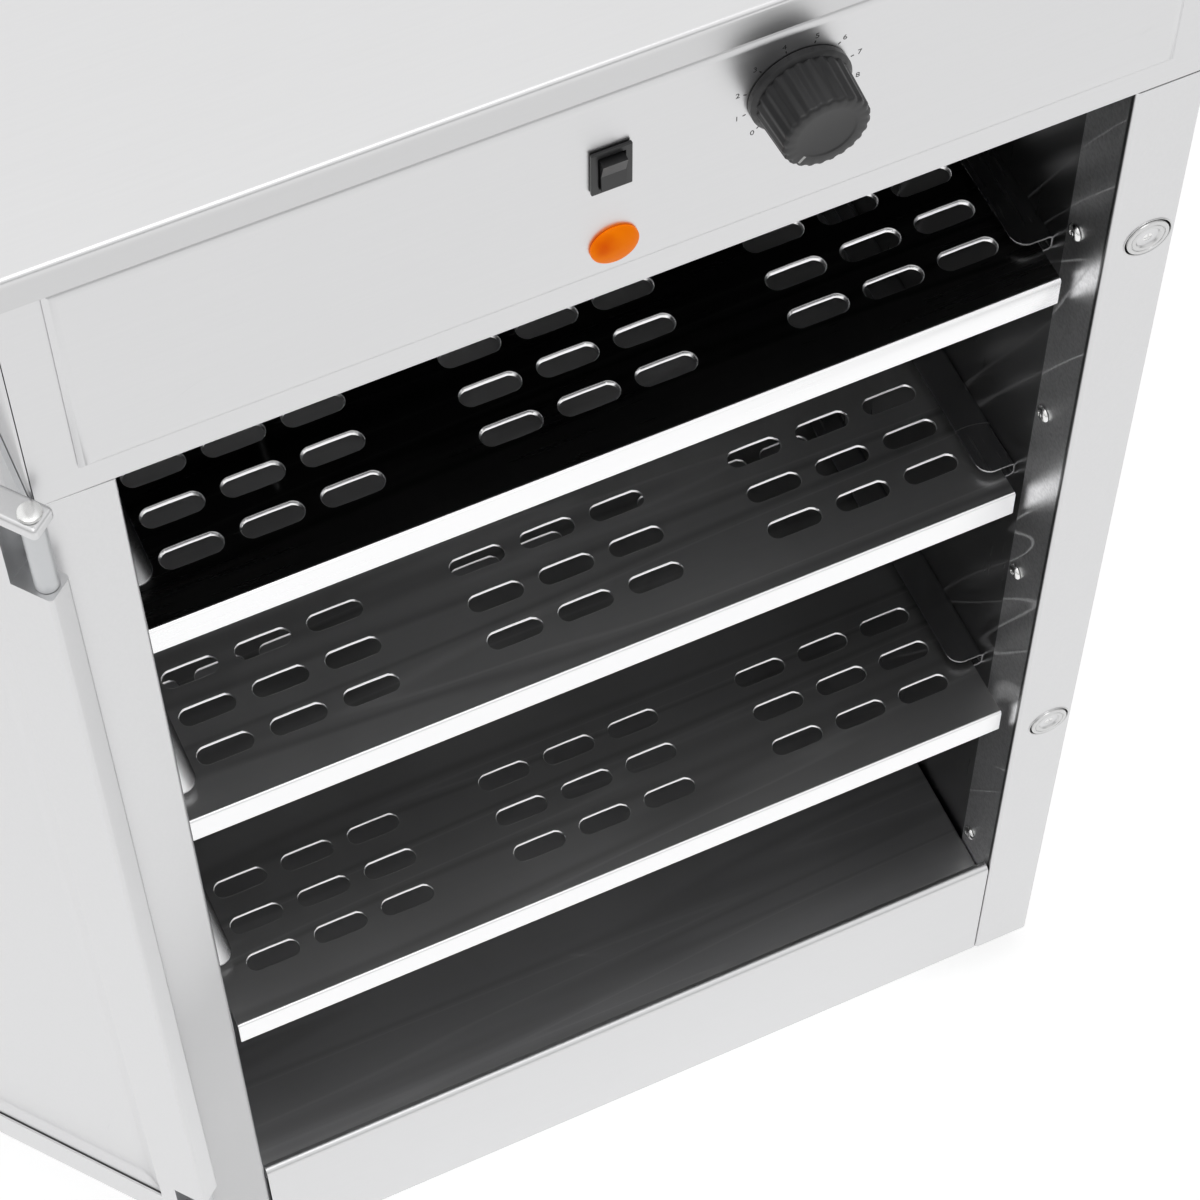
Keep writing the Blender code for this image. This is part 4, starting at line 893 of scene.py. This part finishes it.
def swing_open(thing):
    """Turns a piece made for the closed door about the hinge pins, to where the door stands."""
    deselect_all()
    thing.location = pivot
    thing.rotation_euler = (0, 0, -math.radians(DOOR_OPEN_DEGREES))
    apply_place(thing)


def on_door_corner(co):
    near_x = min(abs(co.x + DOOR_EDGE), abs(co.x - DOOR_REACH)) < SAME_PLACE
    near_z = min(abs(co.z - door_bottom), abs(co.z - door_top)) < SAME_PLACE
    return near_x and near_z


skin = add_block("door_skin", (-DOOR_EDGE, -door_half, door_bottom), (DOOR_REACH, door_half, door_top))
pick(skin, "FACE", lambda centre, normal: normal.y > FACING)
bpy.ops.mesh.inset(thickness=DOOR_FLANGE, depth=0)
bpy.ops.mesh.delete(type="FACE")
leave_edit()
round_edges(skin, DOOR_BEND, DOOR_BEND_FACETS, lambda a, b: on_door_corner(a) and on_door_corner(b))
thicken(skin)
for notch_low in (door_bottom + NOTCH_BRIDGE, door_top - NOTCH_BRIDGE - NOTCH_HEIGHT):
    join_on(skin, add_block("notch_lining",
                            (SHEET / 2 - DOOR_EDGE, SHEET / 2 - door_half, notch_low - SHEET),
                            (NOTCH_REACH + SHEET, door_half - SHEET / 2, notch_low + NOTCH_HEIGHT + SHEET)))
    cut_away(skin, add_block("notch_cut", (-2 * DOOR_EDGE, -2 * door_half, notch_low),
                             (NOTCH_REACH, 2 * door_half, notch_low + NOTCH_HEIGHT)))
soften_edges(skin)
smooth(skin)
swing_open(skin)
fit_out(skin, upright_satin, "satin_steel", "door", "door_shell")

rim_y = door_half - SHEET - FIT
lap = DOOR_FLANGE - DOOR_FLANGE_LAP
panel_low = Vector((-DOOR_EDGE + lap, rim_y, door_bottom + lap))
panel_high = Vector((DOOR_REACH - lap, rim_y, door_top - lap))
inner_skin = add_rectangle("door_inner_panel", (panel_low + panel_high) / 2, (-math.pi / 2, 0, 0),
                           panel_high.x - panel_low.x, panel_high.z - panel_low.z)
pick(inner_skin, "FACE", every_face)
bpy.ops.mesh.inset(thickness=DOOR_FLANGE_LAP, depth=0)
bpy.ops.mesh.inset(thickness=DOOR_PRESS_SLOPE, depth=0)
bpy.ops.transform.translate(value=(0, -DOOR_PRESS, 0))
leave_edit()
edge_low, edge_high = panel_low.x + SAME_PLACE, panel_high.x - SAME_PLACE
round_edges(inner_skin, PRESS_BEND, PRESS_FACETS,
            lambda a, b: min(a.x, b.x) > edge_low and max(a.x, b.x) < edge_high)
thicken(inner_skin)
smooth(inner_skin)
swing_open(inner_skin)
fit_out(inner_skin, upright_satin, "inner_steel", "door", "door_liner")

# The door pull: a polished round bar, bent square at both ends and screwed to the outer skin from
# inside the door.
HANDLE_RADIUS = 0.005
HANDLE_INSET = 0.040
HANDLE_CENTRES = 0.128
HANDLE_STANDOFF = 0.032
HANDLE_BEND = 0.012
HANDLE_BEND_STEPS = 10
HANDLE_SIDES = 32
grip_x = DOOR_REACH - HANDLE_INSET
grip_low = (door_bottom + door_top - HANDLE_CENTRES) / 2
grip_high = grip_low + HANDLE_CENTRES
foot_y = -door_half - FIT
bend_y = foot_y - HANDLE_STANDOFF + HANDLE_BEND
straights = ((0, HANDLE_BEND - HANDLE_STANDOFF, 0), (0, 0, HANDLE_CENTRES - 2 * HANDLE_BEND),
             (0, HANDLE_STANDOFF - HANDLE_BEND, 0))
bend_centres = (grip_low + HANDLE_BEND, grip_high - HANDLE_BEND)
pull = add_disc("door_pull", HANDLE_RADIUS, HANDLE_SIDES, (grip_x, foot_y, grip_low), (math.pi / 2, 0, 0))
extrude(straights[0])
for bend_z, straight in zip(bend_centres, straights[1:]):
    bpy.ops.mesh.spin(steps=HANDLE_BEND_STEPS, angle=math.pi / 2, center=(grip_x, bend_y, bend_z),
                      axis=(-1, 0, 0), dupli=False)
    extrude(straight)
leave_edit()
modify(pull, "WELD", merge_threshold=SAME_PLACE)
outward(pull)
smooth(pull, angle=40)
swing_open(pull)
fit_out(pull, nickel, "nickel", "door", "door_handle")

# The hinges: a zinc-plated leaf on the side wall, rolled into a knuckle round a nickel-plated pin. The
# pins belong to the door. A head's steps are shares of its radius and distances from its top.
PIN_RADIUS = 0.003
PIN_SIDES = 32
PIN_TIP = 0.0006
PIN_TIP_SHARE = 0.8
PIN_HEAD_RADIUS = 0.0045
PIN_HEAD = 0.0015
PIN_HEAD_STEPS = ((1.0, PIN_HEAD), (1.0, 0.0009), (0.92, 0.0004), (0.7, 0.0001), (0.3, 0.0))
KNUCKLE_WALL = 0.0012
KNUCKLE_FACETS = 28
LEAF_THICKNESS = 0.002
LEAF_OFFSET = 0.0025
LEAF_EDGE = 0.0002
for which, outer_end in (("top", 1), ("bottom", -1)):
    low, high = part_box("hinge_leaf_" + which)
    leaf = add_disc("hinge_knuckle_" + which, PIN_RADIUS + FIT + KNUCKLE_WALL, KNUCKLE_FACETS,
                    (pivot.x, pivot.y, low.z))
    extrude((0, 0, high.z - low.z))
    leave_edit()
    outward(leaf)
    leaf_x = pivot.x + LEAF_OFFSET - FIT
    join_on(leaf, add_block("leaf_blade", (leaf_x - LEAF_THICKNESS, pivot.y, low.z),
                            (leaf_x, high.y, high.z)))
    deselect_all()
    bpy.ops.mesh.primitive_cylinder_add(vertices=KNUCKLE_FACETS, radius=PIN_RADIUS + FIT,
                                        depth=2 * (high.z - low.z),
                                        location=(pivot.x, pivot.y, (low.z + high.z) / 2))
    cut_away(leaf, bpy.context.object)
    soften_edges(leaf, LEAF_EDGE)
    smooth(leaf)
    fit_out(leaf, zinc, "zinc_steel", "cabinet", "hinge_leaf_" + which)

    low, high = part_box("hinge_pin_" + which)
    length = high.z - low.z
    start = low.z if which == "top" else high.z
    pin = turned_piece("pin_" + which, (pivot.x, pivot.y, start), (0, 0, outer_end),
                       [(PIN_RADIUS * PIN_TIP_SHARE, 0), (PIN_RADIUS, PIN_TIP),
                        (PIN_RADIUS, length - PIN_HEAD),
                        *[(PIN_HEAD_RADIUS * share, length - drop) for share, drop in PIN_HEAD_STEPS]],
                       PIN_SIDES)
    smooth(pin)
    fit_out(pin, nickel, "nickel", "door", "hinge_pin_" + which)

# The magnetic catches: a plated steel cup pressed into the stile, dished in the middle for the
# cross-head screw that holds it. Both profiles give radius and distance out from the cup's face.
CATCH_RADIUS = 0.0105
CATCH_RIM_SHARES = ((1.0, 0.0), (0.995, 0.35), (0.975, 0.5), (0.955, 0.35))
CATCH_VALLEY = 0.0099
CATCH_DISC = 0.0093
CATCH_FACE = ((0.0091, -0.0002), (0.0087, 0), (0.0075, 0), (0.0073, -0.0004), (0.0071, -0.0004),
              (0.0069, -0.0001), (0.0066, 0), (0.0058, 0), (0.0054, -0.0001), (0.0045, -0.0011),
              (0.0035, -0.0013), (0.0031, -0.0014), (0.0016, -0.0026), (0.0002, -0.0026))
CATCH_CORE = 0.0075
CATCH_CORE_DEPTH = 0.008
CATCH_METAL = (0.64, 0.64, 0.64, 1)
CATCH_SIDES = 56
SCREW_PROFILE = ((0.0013, -0.0060), (0.0013, -0.0025), (0.0028, -0.0014), (0.0027, -0.0012),
                 (0.0020, -0.0008), (0.0010, -0.0006), (0.0002, -0.0006))
SCREW_SIDES = 40
SCREW_CROSS = (0.001848, 0.0022, 0.00035)
SCREW_ANGLE = 28


def cut_cross(screw, middle, reach):
    """Cuts the cross in a screw's head; reach is half a bar's length, its depth and half its width."""
    for half in (Vector(reach), Vector(reach[::-1])):
        cut_away(screw, add_block("screw_cross", middle - half, middle + half))


catch_metal = sheet_metal("catch_metal", CATCH_METAL, roughness=0.30, stretch=(300, 300, 300), change=0.2,
                          shade=0.12, cloud_scale=120)
for which in ("lower", "upper"):
    low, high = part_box("catch_" + which)
    centre = Vector(((low.x + high.x) / 2, low.y, (low.z + high.z) / 2))
    depth = front_y - low.y
    catch = turned_piece(f"catch_button_{which}", centre, (0, -1, 0),
                         [(CATCH_CORE, -CATCH_CORE_DEPTH), (CATCH_CORE, -depth),
                          *[(r * CATCH_RADIUS, (h - 1) * depth) for r, h in CATCH_RIM_SHARES],
                          (CATCH_VALLEY, -depth), (CATCH_DISC, -depth), *CATCH_FACE], CATCH_SIDES)
    smooth(catch, SCREW_ANGLE)
    fit_out(catch, catch_metal, "nickel", "cabinet", "catch_" + which)

    screw = turned_piece(f"catch_screw_head_{which}", centre, (0, -1, 0), SCREW_PROFILE, SCREW_SIDES)
    cut_cross(screw, centre, SCREW_CROSS)
    smooth(screw, SCREW_ANGLE)
    fit_out(screw, nickel, "nickel", "cabinet", "catch_screw_" + which)

# The control panel: a raised plate of satin stainless on the fascia, pressed with a shallow bevel all
# round. The lamp, the switch and the knob's spindle go through it.
CONTROL_RIM = 0.0006
CONTROL_BEVEL = 0.003
CONTROL_EDGE = 0.0016
CONTROL_EDGE_FACETS = 4
panel_low, panel_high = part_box("control_panel")
plate = add_block("control_plate", (panel_low.x, panel_high.y - CONTROL_RIM, panel_low.z), panel_high)
pick(plate, "FACE", lambda centre, normal: normal.y < -FACING)
extrude((0, panel_low.y + CONTROL_RIM - panel_high.y, 0))
bpy.ops.transform.resize(value=(1 - 2 * CONTROL_BEVEL / (panel_high.x - panel_low.x), 1,
                                1 - 2 * CONTROL_BEVEL / (panel_high.z - panel_low.z)),
                         center_override=(panel_low + panel_high) / 2)
bpy.ops.mesh.bevel(offset=CONTROL_EDGE, segments=CONTROL_EDGE_FACETS, profile=0.5, affect="EDGES")
leave_edit()
smooth(plate)
fit_out(plate, level_satin, "satin_steel", "cabinet", "control_panel")
plate_y = panel_low.y - FIT

# The signal lamp: a domed lens moulded in clear amber plastic, pushed through the panel and held by a
# nut behind it. It glows unevenly, darker at the upper left.
LAMP_RADIUS = 0.0091
LAMP_STEM = 0.0070
LAMP_RIM = 0.0006
LAMP_DOME = 0.0026
LAMP_DOME_TURNS = range(0, 86, 9)
LAMP_TIP = 0.0002
LAMP_SIDES = 64
LAMP_SHIFT = 0.0005
LAMP_PATCH = Vector((-0.0040, -0.002, 0.0032))
LAMP_PATCH_SLOPE = 95.0
LAMP_MOTTLE = 0.4
LAMP_MOTTLE_SCALE = 150.0
LAMP_GLOW = 0.42
LAMP_GLOSS = 0.05
AMBER = (0.95, 0.20, 0.002, 1)
LAMP_COLOURS = ((0.30, (0.66, 0.03, 0.0, 1)), (0.72, (1.0, 0.22, 0.0, 1)))
PLASTIC_CLOUDS = 60
PLASTIC_CHANGE = 0.2
PLASTIC_BUMP = 0.4


def moulded(name, colour, roughness, speckle=1400, relief=0.00002, shade=0.15):
    """Moulded plastic: a fine spark-eroded texture with slightly uneven gloss."""
    material, grain = grained(name, colour, roughness, (speckle,) * 3, PLASTIC_CHANGE, shade, PLASTIC_CLOUDS)
    nodes = material.node_tree.nodes
    bump = add_node(nodes, "Bump", Strength=PLASTIC_BUMP, Distance=relief, Height=(grain, "Height"))
    adjust(nodes["Principled BSDF"], Normal=bump)
    return material


low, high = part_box("lamp_lens")
centre = Vector(((low.x + high.x) / 2 - LAMP_SHIFT, plate_y, (low.z + high.z) / 2 + LAMP_SHIFT))
dome = [(LAMP_RADIUS * math.cos(math.radians(a)), LAMP_RIM + LAMP_DOME * math.sin(math.radians(a)))
        for a in LAMP_DOME_TURNS]
lens = turned_piece("lamp_jewel", centre, (0, -1, 0),
                    [(LAMP_STEM, plate_y - high.y), (LAMP_STEM, 0), (LAMP_RADIUS, 0), *dome,
                     (LAMP_TIP, LAMP_RIM + LAMP_DOME + SAME_PLACE)], LAMP_SIDES)
smooth(lens, angle=40)
amber = moulded("amber_clear", AMBER, roughness=0.35, speckle=300, shade=0.5, relief=0.00001)
nodes = amber.node_tree.nodes
patches = add_node(nodes, "TexNoise", on_piece(nodes), Scale=LAMP_MOTTLE_SCALE, Detail=1.0)
from_patch = add_node(nodes, "VectorMath", on_piece(nodes), centre + LAMP_PATCH, operation="DISTANCE")
uneven = work_out(nodes, "MULTIPLY_ADD", (from_patch, "Value"), LAMP_PATCH_SLOPE,
                  work_out(nodes, "MULTIPLY", patches, LAMP_MOTTLE))
lit = add_node(nodes, "ValToRGB", uneven)
for stop, (position, colour) in zip(lit.color_ramp.elements, LAMP_COLOURS):
    stop.position = position
    stop.color = colour
adjust(nodes["Principled BSDF"], Specular_IOR_Level=LAMP_GLOSS, Emission_Color=lit,
       Emission_Strength=LAMP_GLOW)
fit_out(lens, amber, "amber_plastic", "cabinet", "lamp_lens")

# The rocker switch: a black moulded frame with a stepped edge, and the rocker in it. It is one bought
# piece that snaps into the panel from the front.
SWITCH_RIM = 0.0027
SWITCH_STEP = 0.0012
SWITCH_EDGE = 0.0004
BLACK = (0.016, 0.016, 0.017, 1)
black_plastic = moulded("black_moulding", BLACK, roughness=0.36)
low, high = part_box("switch_frame")
bezel = add_block("switch_bezel", low, (high.x, plate_y, high.z))
pick(bezel, "FACE", lambda centre, normal: normal.y < -FACING)
bpy.ops.mesh.inset(thickness=SWITCH_RIM, depth=0)
extrude((0, SWITCH_STEP, 0))
leave_edit()
soften_edges(bezel, SWITCH_EDGE, segments=3)
smooth(bezel)
fit_out(bezel, black_plastic, "black_plastic", "cabinet", "switch_frame")
refinish(black_plastic, "switch_rocker")

# The thermostat knob: a black moulded cap with scalloped grips and a white pointer let into its face.
# Ticks and plain numbers are printed on the panel round it. The skirt's steps are insets and heights,
# and the face's are radii and depths below the face.
KNOB_SIDES = 96
KNOB_RIM = 0.0002
KNOB_SKIRT_STEPS = ((0, 0), (0, 0.0022), (0.0008, 0.0030))
KNOB_FOOT = (0.0172, 0.0034)
KNOB_FACE_STEPS = ((0.0163, 0.0014), (0.0158, 0.0005), (0.0148, 0), (0.0110, 0), (0.0105, 0.0004),
                   (0.0002, 0.0004))
KNOB_GRIP_SIDES = 4
KNOB_GRIP_SHARE = 0.965
KNOB_GRIP_LOW = 0.0032
KNOB_GRIP_RADII = (0.0140, 0.0173)
POINTER_WIDTH = 0.0012
POINTER_LOW = 0.0113
POINTER_HIGH = 0.0145
POINTER_DEPTH = 0.0004
DIAL_START = -135
DIAL_SWEEP = 270
DIAL_STEPS = 9
TICK_LOW = 0.0198
TICK_HIGH = 0.0210
TICK_WIDTH = 0.0005
NUMBER_RADIUS = 0.0232
NUMBER_SIZE = 0.0034
INK = 0.00004
WHITE_INK = (0.85, 0.85, 0.84, 1)
BLACK_INK = (0.02, 0.02, 0.02, 1)
low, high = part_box("thermostat_knob")
centre = Vector(((low.x + high.x) / 2, high.y, (low.z + high.z) / 2))
height = high.y - low.y - KNOB_RIM
knob = turned_piece("control_knob", centre, (0, -1, 0),
                    [*[((high.x - low.x) / 2 - inset, out) for inset, out in KNOB_SKIRT_STEPS], KNOB_FOOT,
                     *[(radius, height - drop) for radius, drop in KNOB_FACE_STEPS]], KNOB_SIDES)


def in_grip(co):
    """True for the corners of the knob's side that are drawn in to make a grip."""
    out = co - centre
    step = round(math.degrees(math.atan2(out.z, out.x)) / (360 / KNOB_SIDES)) % KNOB_GRIP_SIDES
    on_side = KNOB_GRIP_RADII[0] < math.hypot(out.x, out.z) < KNOB_GRIP_RADII[1]
    return step < KNOB_GRIP_SIDES / 2 and on_side and -out.y > KNOB_GRIP_LOW


pick(knob, "VERT", in_grip)
bpy.ops.transform.resize(value=(KNOB_GRIP_SHARE, 1, KNOB_GRIP_SHARE), center_override=centre)
leave_edit()
smooth(knob, angle=40)
fit_out(knob, black_plastic, "black_plastic", "knob", "thermostat_knob")


def turn_about_knob(thing, degrees):
    """Turns a mark made above the knob's middle clockwise round it, as seen from the front."""
    apply_place(thing)
    pick(thing, "VERT", lambda co: True)
    bpy.ops.transform.rotate(value=-math.radians(degrees), orient_axis="Y", center_override=centre)
    leave_edit()


white_ink = moulded("white_ink", WHITE_INK, roughness=0.45)
black_ink = moulded("black_ink", BLACK_INK, roughness=0.5)
pointer = add_block("knob_pointer", centre + Vector((-POINTER_WIDTH / 2, -height - INK, POINTER_LOW)),
                    centre + Vector((POINTER_WIDTH / 2, POINTER_DEPTH - height, POINTER_HIGH)))
soften_edges(pointer, INK / 2, segments=1)
turn_about_knob(pointer, DIAL_START)
fit_out(pointer, white_ink, "white_plastic", "knob")
for number in range(DIAL_STEPS + 1):
    angle = DIAL_START + DIAL_SWEEP * number / DIAL_STEPS
    tick = add_block(f"dial_tick_{number}",
                     (centre.x - TICK_WIDTH / 2, panel_low.y - INK, centre.z + TICK_LOW),
                     (centre.x + TICK_WIDTH / 2, panel_low.y + INK, centre.z + TICK_HIGH))
    soften_edges(tick, INK / 2, segments=1)
    turn_about_knob(tick, angle)
    fit_out(tick, black_ink, "black_plastic", "cabinet")
    deselect_all()
    bpy.ops.object.text_add(rotation=(math.pi / 2, 0, 0))
    label = bpy.context.object
    label.data.body = str(number)
    label.data.size = NUMBER_SIZE
    label.data.align_x = label.data.align_y = "CENTER"
    label.data.extrude = INK
    label.location = (centre.x + NUMBER_RADIUS * math.sin(math.radians(angle)), panel_low.y,
                      centre.z + NUMBER_RADIUS * math.cos(math.radians(angle)))
    bpy.ops.object.convert(target="MESH")
    label = bpy.context.object
    label.name = f"dial_number_{number}"
    apply_place(label)
    modify(label, "WELD", merge_threshold=INK / 10)
    outward(label)
    fit_out(label, black_ink, "black_plastic", "cabinet")

# What sits behind the panels: thermostat, lamp nut, heater, its bracket, the terminal block and the
# cable gland. They are plated steel, copper and plain mouldings, screwed or clipped in place.
HEATER = (0.16, 0.15, 0.15, 1)
COPPER = (0.72, 0.38, 0.22, 1)
WHITE_MOULDING = (0.80, 0.80, 0.78, 1)
refinish(zinc, "thermostat_body", "thermostat_spindle", "heater_bracket")
refinish(black_plastic, "lamp_nut", "cable_gland")
heater_steel = sheet_metal("heat_darkened", HEATER, roughness=0.5, stretch=(90, 90, 90), change=0.3,
                           shade=0.5, cloud_scale=25, metallic=0.8, relief=0.00004)
refinish(heater_steel, "heater_element")
copper = sheet_metal("bare_copper", COPPER, roughness=0.3, stretch=(60, 60, 60), change=0.2, shade=0.3,
                     cloud_scale=40)
refinish(copper, "thermostat_bulb")
refinish(moulded("white_moulding", WHITE_MOULDING, roughness=0.5), "terminal_block")

# The back panel's screws: three nickel-plated pan heads with a cross down each side. They hold the
# panel to the rear flanges of the side walls, and have the domed part of the rivets' profile.
BACK_SCREW_RADIUS = 0.0036
BACK_SCREW_HEIGHT = 0.0019
BACK_SCREW_SIDES = 32
BACK_SCREW_INSET = 0.012
BACK_SCREW_LOW = 0.03
BACK_SCREW_HIGH = 0.05
BACK_SCREW_TIP = 0.0002
BACK_SCREW_CROSS = (0.0018, 0.0008, 0.0003)
DOME_POINTS = 7
back_low, back_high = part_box("back_panel")
back_screw_rows = (back_low.z + BACK_SCREW_LOW, (back_low.z + back_high.z) / 2,
                   back_high.z - BACK_SCREW_HIGH)
back_screw_sides = (("left", back_low.x + BACK_SCREW_INSET), ("right", back_high.x - BACK_SCREW_INSET))
back_screw_profile = [(r * BACK_SCREW_RADIUS, h * BACK_SCREW_HEIGHT)
                      for r, h in RIVET_PROFILE_SHARES[:DOME_POINTS]] + [(BACK_SCREW_TIP, BACK_SCREW_HEIGHT)]
for row, screw_z in enumerate(back_screw_rows, 1):
    for side_name, screw_x in back_screw_sides:
        seat = Vector((screw_x, back_high.y, screw_z))
        screw = turned_piece(f"back_screw_{side_name}_{row}", seat, (0, 1, 0), back_screw_profile,
                             BACK_SCREW_SIDES)
        cut_cross(screw, seat + Vector((0, BACK_SCREW_HEIGHT, 0)), BACK_SCREW_CROSS)
        smooth(screw, SCREW_ANGLE)
        fit_out(screw, nickel, "nickel", "cabinet")

# The feet: four black mouldings, slightly tapered, each screwed through the base pan near a corner.
# Their solids already have the shape, so they only get the moulded finish.
FOOT = (0.03, 0.03, 0.03, 1)
foot_plastic = moulded("foot_moulding", FOOT, roughness=0.5, speckle=900)
refinish(foot_plastic, *[f"foot_{end}_{side}" for end in ("front", "rear") for side in ("left", "right")])
